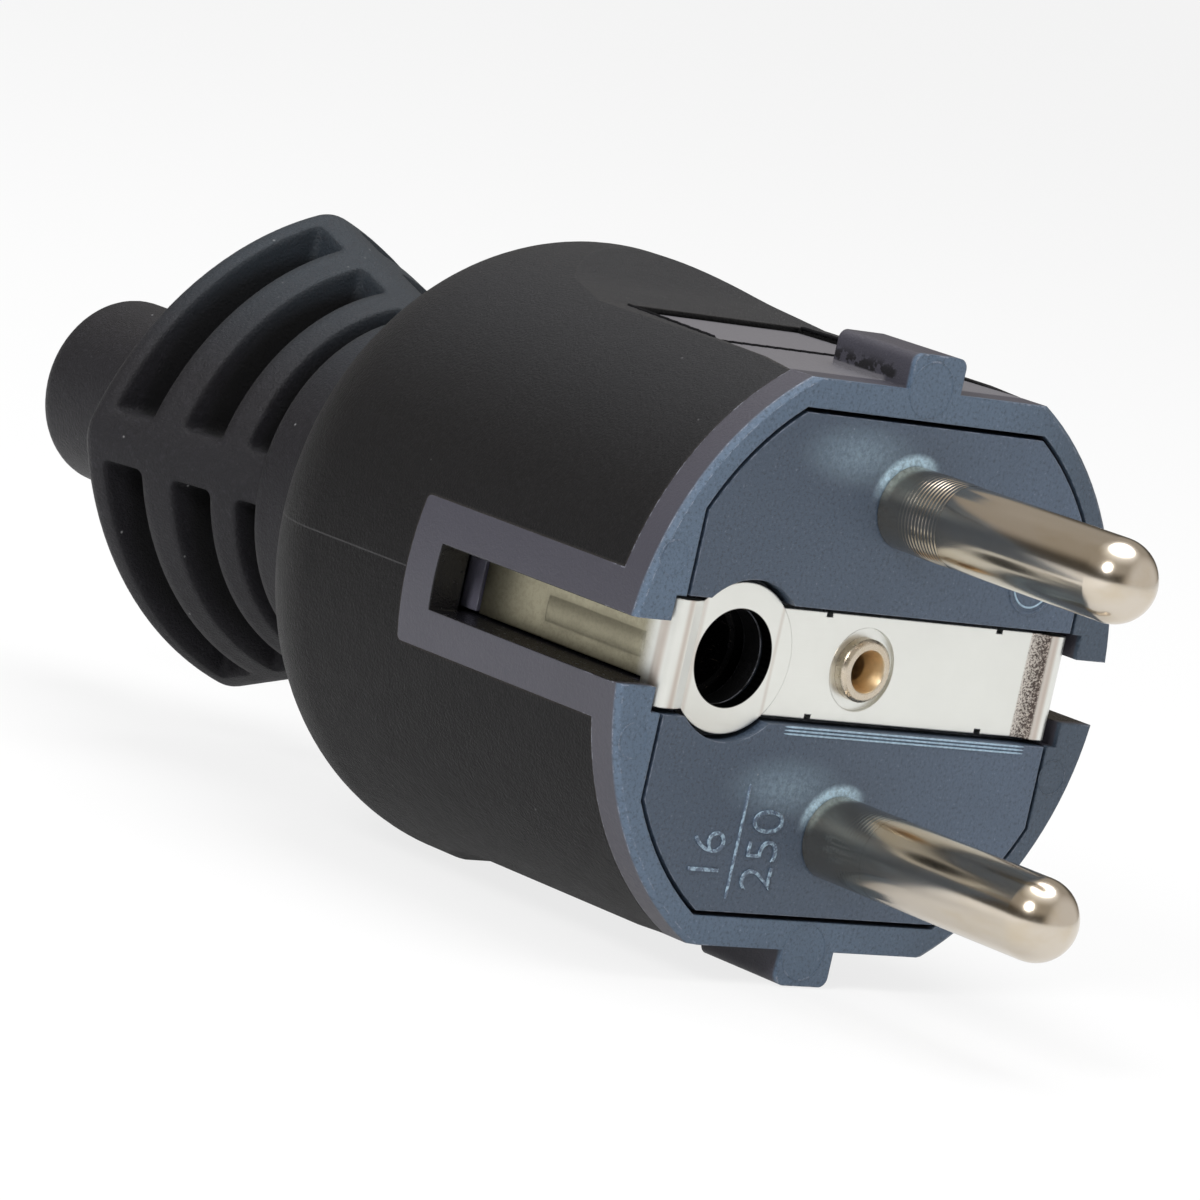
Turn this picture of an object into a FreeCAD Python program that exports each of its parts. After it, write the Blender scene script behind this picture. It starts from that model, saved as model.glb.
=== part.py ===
import FreeCAD, Part
import math
import os
import re
import Sketcher
from FreeCAD import Placement, Rotation, Vector

# Rewirable earthed plug, type F with the earth hole of type E, in millimetres.
# The origin is the middle of the engagement face. +X runs out of the face along the pins,
# +Z runs from the neutral pin to the line pin, and the earth hole lies at -Y.

SIZES = (
    # Plug standard: pins, their spacing and the earth hole
    ("pin_diameter", 4.8, "outside diameter of a contact pin"),
    ("pin_length", 19.0, "free length of a pin from the face"),
    ("pin_spacing", 19.0, "distance between the two pin axes"),
    ("shank_step", 0.4, "pin radius over the radius of its shank in the plate"),
    ("shank_proud", 0.05, "length of that shank in front of the face"),
    ("earth_offset", 10.0, "earth hole from the middle of the face"),
    ("earth_hole", 5.6, "diameter of the hole in the earth strip"),
    ("plate_hole", 5.6, "diameter of the hole in the plate under the strip"),
    # Housing outside
    ("body_radius", 18.5, "radius of collar and grip"),
    ("body_length", 37.6, "face to the rear end of the grip"),
    ("flat_depth", 2.4, "depth of the top or bottom flat below the body radius"),
    ("flat_front", 9.7, "length of the higher front part of a flat"),
    ("flat_length", 19.0, "length of a flat from the face"),
    ("flat_step", 0.15, "drop from the front to the rear part of a flat"),
    ("flat_tail", 6.8, "half width that the grip leaves open at a flat's rear end"),
    ("collar_length", 2.1, "hard collar that the grip leaves bare"),
    ("collar_break", 0.3, "broken edge round the face"),
    ("seat_length", 4.4, "rear end of the thicker wall round the carrier"),
    ("seat_depth", 0.6, "thickness of the grip's front lip"),
    ("grip_wall", 2.0, "thickness of the soft grip"),
    ("cone_length", 6.6, "length of the grip's rear cone"),
    ("shoulder_round", 8.0, "rounding of the grip's shoulder"),
    ("rear_wall", 1.15, "thickness of the grip round the neck at its rear end"),
    ("rear_round", 1.0, "rounding of the grip's rear edge"),
    ("rear_lip", 3.0, "soft lip behind the hard core"),
    ("rest_cut", 0.25, "depth of the faint flat under the grip, on which it lies"),
    ("scoop_low", 0.17, "height of a thumb scoop over the flat, where the two meet"),
    ("scoop_mid", 0.8, "height of a thumb scoop over the flat, where it turns up"),
    ("scoop_turn", 4.0, "flat's rear end to the point where the scoop turns up"),
    ("scoop_rise", 4.2, "length over which the scoop rises to the grip's full height"),
    ("scoop_round", 7.0, "rounding where the scoop turns up"),
    ("rib_width", 3.94, "width of a guide rib"),
    ("rib_height", 2.05, "height of a guide rib over its flat"),
    ("rib_length", 6.5, "length of a guide rib"),
    ("rib_round", 0.6, "rounding of a guide rib's long edges"),
    ("window_width", 8.4, "width of the hard frame round a side slot"),
    ("window_rim", 2.5, "length of that frame behind the slot"),
    ("frame_round", 0.3, "rounding of the frame's rear corners"),
    ("slot_width", 3.75, "width of a side slot"),
    ("slot_show", 0.7, "length of a side slot behind the end of a strip leg"),
    # Housing inside
    ("core_wall", 1.8, "wall of the hard core under the grip"),
    ("latch_room", 2.5, "length of a latch pocket behind the latch barb"),
    ("latch_wall", 2.2, "wall left outside a latch pocket"),
    ("fold_notch", 6.6, "width of the notch for a fold of the earth strip"),
    ("fold_room", 0.45, "gap outside a fold in that notch"),
    ("fold_depth", 2.2, "depth of that notch from the face"),
    ("seat_wall", 2.6, "rear wall of the hard core, on which the bend relief's flange seats"),
    ("flange_room", 1.0, "gap in front of that flange"),
    ("cavity_cone", 1.0, "length of the cone between the flange's room and the wider chamber"),
    ("flange_length", 2.0, "thickness of that flange"),
    ("flange_step", 1.7, "height of that flange over the neck"),
    # Contact carrier
    ("carrier_inset", 1.65, "body radius to the round edge of the carrier's plate"),
    ("carrier_drop", 1.95, "flat to the plate's top or bottom edge"),
    ("carrier_side", 3.75, "body radius to the plate's side edge"),
    ("carrier_gap", 0.28, "gap between the plate and the housing"),
    ("plate_depth", 3.0, "thickness of the plate"),
    ("chamber_depth", 14.4, "face to the rear edge of the terminal chambers"),
    ("skirt_gap", 0.7, "gap between the chamber wall and the housing"),
    ("skirt_wall", 1.1, "thickness of the chamber wall"),
    ("barrier_low", 4.3, "middle to the near side of a barrier wall"),
    ("barrier_wall", 1.0, "thickness of a barrier wall"),
    ("boss_y", 7.6, "cover screw from the middle, sideways"),
    ("boss_z", 8.0, "cover screw from the middle, up or down"),
    ("boss_radius", 2.2, "radius of a screw boss"),
    ("strip_sink", 0.65, "depth of the strip's ring below the face"),
    ("arm_thick", 0.8, "thickness of a latch arm"),
    ("arm_gap", 0.1, "gap between a latch arm and the strip leg outside it"),
    ("arm_half", 1.65, "half width of a latch arm"),
    ("barb_gap", 0.3, "strip leg's end to the front of a latch barb"),
    ("barb_length", 1.4, "length of a latch barb"),
    # Earth parts
    ("strip_thickness", 0.8, "sheet thickness of the earth strip"),
    ("strip_width", 6.1, "width of the strip across the face"),
    ("strip_inset", 3.2, "body radius to the outside of a strip leg"),
    ("strip_gap", 0.3, "gap between the strip and the walls of its channel"),
    ("strip_step", 0.15, "drop of the strip beside its ring"),
    ("strip_rise", 0.35, "rise of the strip towards its folds"),
    ("fold_round", 0.8, "outside radius of a fold"),
    ("step_y", 7.1, "middle to the drop beside the ring"),
    ("ramp_inset", 1.4, "outside of a leg to the head of the rise"),
    ("ramp_run", 0.9, "length of the rise"),
    ("leg_end", 16.0, "face to the end of a strip leg"),
    ("leg_width", 3.4, "width of a strip leg"),
    ("leg_shoulder", 1.9, "face to the shoulder where a leg narrows"),
    ("ring_diameter", 8.6, "outside diameter of the ring round the earth hole"),
    ("dish_diameter", 4.8, "diameter of the dish round the rivet"),
    ("dish_depth", 0.25, "depth of that dish"),
    ("bead_width", 1.5, "width of the stiffening bead on a leg"),
    ("bead_start", 2.2, "face to the front end of that bead"),
    ("bead_end", 10.5, "face to the rear end of that bead"),
    ("bead_rise", 0.06, "height of that bead"),
    ("stake_size", 0.5, "width of a staking notch at the strip's edge"),
    ("rivet_diameter", 2.9, "shank of the hollow rivet"),
    ("rivet_bore", 1.6, "bore of the hollow rivet"),
    ("rivet_mouth", 2.5, "wide end of the rivet's cone"),
    ("rivet_lip", 3.65, "rolled front lip of the rivet"),
    ("rivet_proud", 0.5, "height of the lip over the strip"),
    ("lip_break", 0.2, "broken edge of that lip"),
    ("rivet_head", 4.4, "rear head of the rivet"),
    ("rivet_head_height", 0.8, "thickness of the rear head"),
    ("bus_thickness", 0.8, "sheet thickness of the earth bus"),
    ("bus_half", 3.0, "half width of the earth bus"),
    ("bus_reach", 9.4, "middle to the terminal end of the bus"),
    ("bus_ring", 3.3, "radius of the bus round the earth sleeve"),
    ("sleeve_bore", 4.84, "bore of the earth sleeve"),
    ("sleeve_wall", 0.48, "wall of the earth sleeve"),
    ("sleeve_end", 15.8, "face to the rear end of the earth sleeve"),
    ("sleeve_flange", 0.7, "thickness of the sleeve's flange"),
    ("flange_edge", 3.2, "radius of that flange"),
    ("sleeve_slit", 0.6, "width of a slit between two fingers"),
    ("sleeve_solid", 3.2, "length of the sleeve in front of its slits"),
    ("spring_wall", 0.4, "thickness of the spring ring"),
    ("spring_front", 12.4, "face to the front of the spring ring"),
    ("spring_width", 1.4, "width of the spring ring"),
    ("spring_gap", 1.5, "opening of the spring ring"),
    # Terminals
    ("pin_collar", 3.3, "radius of the collar behind the plate"),
    ("collar_thick", 1.2, "thickness of that collar"),
    ("block_half", 2.9, "half width of a terminal block"),
    ("block_length", 9.0, "length of a terminal block"),
    ("wire_bore", 3.0, "bore that takes the bared wire"),
    ("wire_floor", 1.5, "solid metal in front of that bore"),
    ("screw_back", 3.7, "block's rear face to the terminal screw's axis"),
    ("screw_radius", 1.45, "radius of a terminal screw"),
    ("screw_fit", 0.03, "gap round a screw in its hole"),
    ("screw_head", 2.2, "radius of a terminal screw's head"),
    ("head_height", 1.7, "height of a terminal screw's head"),
    ("head_rise", 0.3, "gap under that head when it clamps no wire"),
    ("guard_thick", 0.25, "thickness of a wire guard"),
    ("guard_low", 0.65, "axis of the bore to the underside of a wire guard"),
    ("guard_half", 1.1, "half width of a wire guard"),
    ("guard_length", 5.6, "length of a wire guard in its bore"),
    ("earth_block_y", 6.5, "middle to the axis of the earth terminal"),
    ("stub_radius", 1.2, "stub that rivets the earth terminal to the bus"),
    ("driver_hole", 2.5, "radius of the screwdriver holes in the chamber wall"),
    # Terminal cover and cord clamp
    ("cover_thick", 2.0, "thickness of the terminal cover"),
    ("cover_hole", 2.0, "radius of the wire holes in the cover"),
    ("cover_screw", 1.1, "radius of a cover screw"),
    ("cover_grip", 7.0, "length of a cover screw in its boss"),
    ("cover_head", 2.0, "radius of a cover screw's head"),
    ("cover_head_height", 1.5, "height of a cover screw's head"),
    ("saddle_room", 4.1, "terminal cover to the front of the cord clamp"),
    ("saddle_length", 6.5, "length of the cord clamp along the cord"),
    ("saddle_half", 10.5, "half width of the cord clamp"),
    ("saddle_depth", 9.0, "middle to the underside of the lower half"),
    ("saddle_gap", 2.2, "middle to a half's clamping face"),
    ("bridge_top", 7.0, "middle to the top of the upper half"),
    ("bridge_round", 1.2, "rounding of the upper half's ends"),
    ("web_half", 5.0, "half width of the arm to the lower half"),
    ("web_thick", 2.5, "thickness of that arm"),
    ("cord_radius", 4.3, "radius of the cord that the plug takes"),
    ("clamp_screw_z", 7.8, "clamp screw from the middle"),
    ("clamp_screw", 1.45, "radius of a clamp screw"),
    ("clamp_bite", 6.0, "length of a clamp screw in the lower half"),
    ("clamp_head", 2.6, "radius of a clamp screw's head"),
    ("clamp_head_height", 1.9, "height of a clamp screw's head"),
    ("tip_cone", 0.45, "length and height of the cone at a screw's tip"),
    ("head_break", 0.3, "broken edge of a screw's head"),
    ("driver_slot", 0.7, "width of a screwdriver slot"),
    ("driver_depth", 0.8, "depth of a screwdriver slot"),
    # Bend relief
    ("neck_radius", 10.9, "radius of the neck behind the grip"),
    ("neck_gap", 0.15, "gap between neck and housing"),
    ("neck_show", 4.9, "length of neck between the grip and the cage"),
    ("cage_front", 10.6, "middle to a corner of the cage, front"),
    ("cage_rear", 15.3, "middle to a corner of the cage, rear"),
    ("side_front", 10.9, "radius of the cage's bulged sides, front"),
    ("side_rear", 23.2, "radius of the cage's bulged sides, rear"),
    ("cage_round", 3.0, "rounding of the cage's long corners"),
    ("slot_round", 0.4, "rounding of a slot's corners beside a web"),
    ("rim_round", 0.8, "rounding of the cage's rear rim"),
    ("web_width", 3.0, "width of the four webs along the cage"),
    ("front_slot", 1.7, "width of the front row of slots"),
    ("front_ring", 1.7, "ring between the front and the middle slots"),
    ("middle_slot", 2.7, "width of the middle row of slots"),
    ("middle_ring", 2.0, "ring between the middle and the rear slots"),
    ("rear_slot", 2.7, "width of the rear row of slots"),
    ("rim_thick", 1.7, "thickness of the cage's rear rim"),
    ("sleeve_radius", 5.85, "radius of the cord sleeve"),
    ("sleeve_show", 16.6, "length of the cord sleeve behind the cage"),
    ("mouth_round", 1.3, "rounding of the cord sleeve's end"),
    ("rim_recess", 7.3, "radius of the recess round the sleeve in the rear rim"),
    ("rim_depth", 1.2, "depth of that recess"),
    ("funnel_radius", 9.3, "radius of the hollow neck"),
    ("funnel_lead", 1.0, "flange to the wide end of the funnel"),
    ("funnel_tail", 1.3, "narrow end of the funnel to the cage"),
)

VALUES = {name: value for name, value, meaning in SIZES}

# Lengths that follow from the sheet, as expressions
FLAT = "(body_radius - flat_depth)"
FLAT_EDGE = f"sqrt(body_radius^2 - {FLAT}^2)"
REST = "(body_radius - rest_cut)"
SHOULDER = "(body_length - cone_length)"
SCOOP_TURN = "(flat_length + scoop_turn)"
SCOOP_END = f"({SCOOP_TURN} + scoop_rise)"
CAVITY = "(body_radius - grip_wall - core_wall)"
NECK_HOLE = "(neck_radius + neck_gap)"
REAR_RADIUS = f"({NECK_HOLE} + rear_wall)"
FLANGE = "(neck_radius + flange_step)"
FLANGE_SEAT = "(body_length - rear_lip - seat_wall)"
FLANGE_FRONT = f"({FLANGE_SEAT} - flange_length)"
CARRIER = "(body_radius - carrier_inset)"
CARRIER_TOP = f"({FLAT} - carrier_drop)"
CARRIER_SIDE = "(body_radius - carrier_side)"
SKIRT = f"({CAVITY} - skirt_gap)"
LEG = "(body_radius - strip_inset)"
LEG_INSIDE = f"({LEG} - strip_thickness)"
ARM_FAR = f"({LEG_INSIDE} - arm_gap)"
ARM_NEAR = f"({ARM_FAR} - arm_thick)"
BARB_START = "(leg_end + barb_gap)"
BARB_END = f"({BARB_START} + barb_length)"
POCKET_END = f"({BARB_END} + latch_room)"
SLOT_END = "(leg_end + slot_show)"
WINDOW_END = f"({SLOT_END} + window_rim)"
RAMP_HEAD = f"({LEG} - ramp_inset)"
RAMP_FOOT = f"({RAMP_HEAD} - ramp_run)"
PLATE_FACE = "(strip_sink + strip_step + strip_thickness)"
BUS_BACK = "(plate_depth + bus_thickness)"
HEAD_FRONT = "(plate_depth + collar_thick)"
HEAD_BACK = f"({HEAD_FRONT} + block_length)"
EARTH_BACK = f"({BUS_BACK} + block_length)"
COVER_BACK = "(chamber_depth + cover_thick)"
SLEEVE_OUT = "(sleeve_bore / 2 + sleeve_wall)"
SHANK = "(pin_diameter / 2 - shank_step)"
SADDLE_FRONT = f"({COVER_BACK} + saddle_room)"
SADDLE_BACK = f"({SADDLE_FRONT} + saddle_length)"
SADDLE_MID = f"({SADDLE_FRONT} + saddle_length / 2)"
CAGE_START = "(body_length + neck_show)"
CAGE_LENGTH = "(front_slot + front_ring + middle_slot + middle_ring + rear_slot + rim_thick)"
CAGE_END = f"({CAGE_START} + {CAGE_LENGTH})"
SLEEVE_END = f"({CAGE_END} + sleeve_show)"
OVERRUN = "0.1"

# Radius on which an outline's corners start, before their constraints move them
START_RADIUS = 10

os.makedirs("parts", exist_ok=True)
doc = FreeCAD.newDocument("earthed_plug")
subparts = []


def write_sheet():
    """Put every driving size into the spreadsheet, with its alias and its meaning."""
    sheet = doc.addObject("Spreadsheet::Sheet", "Sizes")
    for row, (name, value, meaning) in enumerate(SIZES, start=1):
        sheet.set(f"A{row}", name)
        sheet.set(f"B{row}", str(value))
        sheet.set(f"C{row}", meaning)
        sheet.setAlias(f"B{row}", name)
    doc.recompute()


def bound(text):
    """Turn a formula in plain size names into one that reads the sheet."""
    return re.sub(r"[a-z]\w*", lambda word: "Sizes." + word[0] if word[0] in VALUES else word[0], text)


def bind(thing, **formulas):
    """Bind properties to formulas; a double underscore in a name stands for a dot."""
    for name, text in formulas.items():
        thing.setExpression(name.replace("__", "."), bound(text))


def place(thing, x="0", y="0", z="0", turn=None):
    """Set a sub-part's place from formulas, and its turn as a rotation."""
    if turn is not None:
        thing.Placement = Placement(Vector(), turn)
    bind(thing, Placement__Base__x=x, Placement__Base__y=y, Placement__Base__z=z)


def publish(thing, label):
    """Name a finished sub-part; the label becomes its node and file name."""
    thing.Label = label
    subparts.append(thing)


# Sketches


def sketch_on(body, name, role, offset="0"):
    """A sketch on one of the body's own origin planes, moved along the plane's normal."""
    sketch = body.newObject("Sketcher::SketchObject", name)
    plane = next(item for item in body.Origin.OriginFeatures if item.Role == role)
    sketch.AttachmentSupport = [(plane, "")]
    sketch.MapMode = "FlatFace"
    bind(sketch, AttachmentOffset__Base__z=offset)
    return sketch


def across(body, name, x):
    """A sketch square to the plug's axis, at distance x behind the face."""
    return sketch_on(body, name, "YZ_Plane", f"-({x})")


def size_constraint(sketch, constraint, formula):
    index = sketch.addConstraint(constraint)
    sketch.setExpression(f"Constraints[{index}]", bound(formula))


def pin_point(sketch, line, end, now, u, v):
    """Hold one point of a line at (u, v) from the sketch's origin."""
    size_constraint(sketch, Sketcher.Constraint("DistanceX", -1, 1, line, end, now.x), u)
    size_constraint(sketch, Sketcher.Constraint("DistanceY", -1, 1, line, end, now.y), v)


def polygon(sketch, corners):
    """A closed outline through corners given as pairs of formulas."""
    first = sketch.GeometryCount
    count = len(corners)
    turn = 2 * math.pi / count
    start = [Vector(START_RADIUS * math.cos(i * turn), START_RADIUS * math.sin(i * turn), 0)
             for i in range(count)]
    for i in range(count):
        sketch.addGeometry(Part.LineSegment(start[i], start[(i + 1) % count]))
    for i, (u, v) in enumerate(corners):
        before = first + (i - 1) % count
        sketch.addConstraint(Sketcher.Constraint("Coincident", before, 2, first + i, 1))
        pin_point(sketch, first + i, 1, start[i], u, v)


def rectangle(sketch, low_u, low_v, high_u, high_v):
    polygon(sketch, [(low_u, low_v), (high_u, low_v), (high_u, high_v), (low_u, high_v)])


def centred(sketch, half_u, half_v):
    """A rectangle about the sketch's origin."""
    rectangle(sketch, f"-({half_u})", f"-({half_v})", half_u, half_v)


def circle(sketch, radius, u="0", v="0"):
    index = sketch.addGeometry(Part.Circle(Vector(1, 1, 0), Vector(0, 0, 1), 1))
    pin_point(sketch, index, 3, Vector(1, 1, 0), u, v)
    size_constraint(sketch, Sketcher.Constraint("Radius", index, 1.0), radius)


def bulged_square(sketch, corner, side):
    """Four arcs of radius side that join four corners on the sketch's axes."""
    reach = VALUES[corner]
    radius = VALUES[side]
    shift = (math.sqrt(2 * radius ** 2 - reach ** 2) - reach) / 2
    open_angle = math.atan2(shift, reach + shift)
    for quarter in range(4):
        lift = quarter * math.pi / 2
        toward = lift + math.pi / 4
        centre = Vector(-math.sqrt(2) * shift * math.cos(toward), -math.sqrt(2) * shift * math.sin(toward), 0)
        ring = Part.Circle(centre, Vector(0, 0, 1), radius)
        sketch.addGeometry(Part.ArcOfCircle(ring, lift + open_angle, lift + math.pi / 2 - open_angle))
    spots = ((corner, "0"), ("0", corner), (f"-{corner}", "0"), ("0", f"-{corner}"))
    for quarter, (u, v) in enumerate(spots):
        now = sketch.getPoint(quarter, 1)
        sketch.addConstraint(Sketcher.Constraint("Coincident", (quarter - 1) % 4, 2, quarter, 1))
        pin_point(sketch, quarter, 1, now, u, v)
        size_constraint(sketch, Sketcher.Constraint("Radius", quarter, radius), side)


# Part design features


def new_body(name):
    return doc.addObject("PartDesign::Body", name)


def pad(body, name, sketch, length, backward=True):
    """Add material behind the sketch; backward is against the plane's normal."""
    feature = body.newObject("PartDesign::Pad", name)
    feature.Profile = sketch
    feature.Reversed = backward
    bind(feature, Length=length)
    doc.recompute()
    return feature


def pad_both(body, name, sketch, length):
    """Add material of the given length, half on each side of the sketch."""
    feature = body.newObject("PartDesign::Pad", name)
    feature.Profile = sketch
    feature.SideType = "Symmetric"
    bind(feature, Length=length)
    doc.recompute()
    return feature


def pocket(body, name, sketch, length, both=False):
    """Remove material behind the sketch, or on both sides of it, and check that some went."""
    before = body.Shape.Volume
    feature = body.newObject("PartDesign::Pocket", name)
    feature.Profile = sketch
    if both:
        feature.SideType = "Symmetric"
    bind(feature, Length=length)
    doc.recompute()
    if not feature.Shape.Volume < before:
        raise RuntimeError(f"{body.Name}.{name} cut nothing")
    return feature


def turned(body, name, profile):
    """Material turned about the plug's axis, from a profile of (x, radius) corners."""
    sketch = sketch_on(body, name + "_profile", "XY_Plane")
    polygon(sketch, profile)
    feature = body.newObject("PartDesign::Revolution", name)
    feature.Profile = sketch
    feature.ReferenceAxis = (sketch, ["H_Axis"])
    feature.Angle = 360
    doc.recompute()
    return feature


def bored(body, name, profile):
    """A cut turned about the plug's axis, from a profile of (x, radius) corners."""
    before = body.Shape.Volume
    sketch = sketch_on(body, name + "_profile", "XY_Plane")
    polygon(sketch, profile)
    feature = body.newObject("PartDesign::Groove", name)
    feature.Profile = sketch
    feature.ReferenceAxis = (sketch, ["H_Axis"])
    feature.Angle = 360
    doc.recompute()
    if not feature.Shape.Volume < before:
        raise RuntimeError(f"{body.Name}.{name} cut nothing")
    return feature


def about_axis(body, name, features, count):
    """Repeat features round the plug's axis."""
    pattern = body.newObject("PartDesign::PolarPattern", name)
    pattern.Originals = features
    axis = next(item for item in body.Origin.OriginFeatures if item.Role == "X_Axis")
    pattern.Axis = (axis, [""])
    pattern.Angle = 360
    pattern.Occurrences = count
    body.Tip = pattern
    doc.recompute()
    return pattern


def edge_names(shape, wanted):
    """Names of the edges that pass a test on the edge."""
    return [f"Edge{i}" for i, edge in enumerate(shape.Edges, start=1) if wanted(edge)]


def rounded(body, name, base, wanted, radius):
    """Fillet those edges of a feature that pass a test."""
    names = edge_names(base.Shape, wanted)
    if not names:
        raise RuntimeError(f"{body.Name}.{name} found no edge")
    feature = body.newObject("PartDesign::Fillet", name)
    feature.Base = (base, names)
    bind(feature, Radius=radius)
    doc.recompute()
    return feature


def is_ring(edge, x, radius):
    """Whether an edge is a circle about the plug's axis at x with that radius."""
    box = edge.BoundBox
    return abs(box.XMax - x) < 0.01 and box.XLength < 0.01 and abs(box.ZMax - radius) < 0.01


def on_level(low, high, level):
    """Whether a flat edge from low to high lies at that level on either side of the middle."""
    return high - low < 0.01 and abs(abs(low) - level) < 0.01


# Primitives and booleans


def block(name, low, high):
    """A box between two corners given as triples of formulas."""
    box = doc.addObject("Part::Box", name)
    length, width, height = (f"{far} - ({near})" for near, far in zip(low, high))
    bind(box, Length=length, Width=width, Height=height)
    place(box, *low)
    return box


def rod(name, front, back, radius, y="0", z="0"):
    """A cylinder along the plug's axis, from front to back behind the face."""
    cylinder = doc.addObject("Part::Cylinder", name)
    bind(cylinder, Radius=radius, Height=f"{back} - ({front})")
    place(cylinder, f"-({back})", y, z, Rotation(Vector(0, 1, 0), 90))
    return cylinder


def fuse(name, things):
    feature = doc.addObject("Part::MultiFuse", name)
    feature.Shapes = things
    return feature


def common(name, things):
    feature = doc.addObject("Part::MultiCommon", name)
    feature.Shapes = things
    return feature


def cut(name, base, things):
    """What is left of base once all of things are taken out."""
    feature = doc.addObject("Part::Cut", name)
    feature.Base = base
    feature.Tool = things[0] if len(things) == 1 else fuse(name + "_tools", things)
    return feature


# Housing


def flat_opening():
    """Plan of the bare flats, which narrow to the rear, through the whole height of the plug."""
    body = new_body("flat_opening")
    plan = sketch_on(body, "opening_plan", "XY_Plane")
    wide = f"{FLAT_EDGE} + {OVERRUN} / 2"
    polygon(plan, [("1", f"-({wide})"), ("1", wide), ("-collar_length", wide), ("-flat_length", "flat_tail"),
                   ("-flat_length", "-flat_tail"), ("-collar_length", f"-({wide})")])
    pad_both(body, "opening_prism", plan, "2 * body_radius + 2")
    return body


def window_frames():
    """Bar through the plug whose ends are the raised frames round the side slots."""
    body = new_body("window_frames")
    sketch = sketch_on(body, "frame_plan", "XZ_Plane")
    rectangle(sketch, f"-{WINDOW_END}", "-window_width / 2", "-collar_length / 2", "window_width / 2")
    bar = pad_both(body, "frame_bar", sketch, "2 * body_radius + 2")
    middle = -VALUES["leg_end"]
    rounded(body, "frame_corners", bar,
            lambda edge: edge.BoundBox.YLength > 1 and edge.BoundBox.XMax < middle, "frame_round")
    return body


def core_outside(opening):
    """Outer form of the hard core: turned body, raised frames, flats and guide ribs."""
    body = new_body("core_turned")
    inner = "body_radius - grip_wall"
    core_rear = "(body_length - rear_lip)"
    slope = f"((body_radius - {REAR_RADIUS}) / cone_length)"
    corner = f"({SHOULDER} - grip_wall * (sqrt(1 + {slope}^2) - 1) / {slope})"
    rear_edge = f"{inner} - ({core_rear} - {corner}) * {slope}"
    shell = turned(body, "shell", [
        ("0", "0"), ("0", "body_radius - collar_break"), ("-collar_break", "body_radius"),
        ("-collar_length", "body_radius"), ("-collar_length", "body_radius - seat_depth"),
        ("-seat_length", "body_radius - seat_depth"), ("-seat_length", inner),
        (f"-{corner}", inner), (f"-{core_rear}", rear_edge), (f"-{core_rear}", "0")])
    core_radius = VALUES["body_radius"] - VALUES["grip_wall"]
    middle = -VALUES["body_length"] / 2
    rounded(body, "shoulder", shell,
            lambda edge: is_ring(edge, edge.BoundBox.XMax, core_radius) and edge.BoundBox.XMax < middle,
            "shoulder_round - grip_wall")
    round_form = rod("round_form", "collar_length / 2", f"{WINDOW_END} + flat_length", "body_radius")
    raised = common("raised_areas", [fuse("raised_bars", [window_frames(), opening]), round_form])
    trims = []
    for side, low, high in (("top", "{0}", "body_radius + 1"), ("bottom", "-body_radius - 1", "-({0})")):
        levels = (("front", "-flat_front", "1", FLAT),
                  ("rear", f"-{SCOOP_TURN}", "-flat_front", f"{FLAT} - flat_step"))
        for part, back, front, height in levels:
            trims.append(block(f"trim_{side}_{part}", (back, "-body_radius", low.format(height)),
                               (front, "body_radius", high.format(height))))
    bare = cut("core_flats", fuse("core_blank", [body, raised]), trims)
    return fuse("core_form", [bare, guide_ribs()])


def guide_ribs():
    """The two ribs on the flats that lead the plug into a recessed socket."""
    body = new_body("guide_ribs")
    sketch = across(body, "rib_section", "0")
    top = f"{FLAT} + rib_height"
    centred(sketch, "rib_width / 2", top)
    bar = pad(body, "rib_bar", sketch, "rib_length")
    edge_height = VALUES["body_radius"] - VALUES["flat_depth"] + VALUES["rib_height"]
    rounded(body, "rib_edges", bar,
            lambda edge: edge.BoundBox.XLength > 1 and abs(abs(edge.BoundBox.ZMax) - edge_height) < 0.01,
            "rib_round")
    return body


def core_inside():
    """Everything hollow in the core: carrier seat, chamber, neck hole, slots and pockets."""
    body = new_body("core_cavity")
    turned(body, "chamber", [
        ("-plate_depth / 2", "0"), ("-plate_depth / 2", CAVITY),
        (f"-({FLANGE_FRONT} - flange_room - cavity_cone)", CAVITY),
        (f"-({FLANGE_FRONT} - flange_room)", f"{FLANGE} + neck_gap"),
        (f"-{FLANGE_SEAT}", f"{FLANGE} + neck_gap"), (f"-{FLANGE_SEAT}", NECK_HOLE),
        ("-body_length", NECK_HOLE), ("-body_length", "0")])
    seat = carrier_blank("carrier_seat", "carrier_gap")
    side = "body_radius + 1"
    slots = block("side_slots", (f"-{SLOT_END}", f"-({side})", "-slot_width / 2"),
                  ("1", side, "slot_width / 2"))
    notches = block("fold_notches", ("-fold_depth", f"-{LEG} - fold_room", "-fold_notch / 2"),
                    ("1", f"{LEG} + fold_room", "fold_notch / 2"))
    pockets = block("latch_pockets", (f"-{POCKET_END}", "-body_radius + latch_wall", "-slot_width / 2"),
                    ("-plate_depth", "body_radius - latch_wall", "slot_width / 2"))
    return [body, seat, slots, notches, pockets]


def carrier_blank(name, gap):
    """The carrier's outline, a disc with four flats, grown by gap and one plate deep."""
    disc = rod(name + "_disc", "0", "plate_depth", f"{CARRIER} + {gap}")
    flats = block(name + "_flats", ("-plate_depth", f"-{CARRIER_SIDE} - {gap}", f"-{CARRIER_TOP} - {gap}"),
                  ("1", f"{CARRIER_SIDE} + {gap}", f"{CARRIER_TOP} + {gap}"))
    return common(name, [disc, flats])


def housing(core_form):
    publish(cut("housing", core_form, core_inside()), "housing_core")


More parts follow.
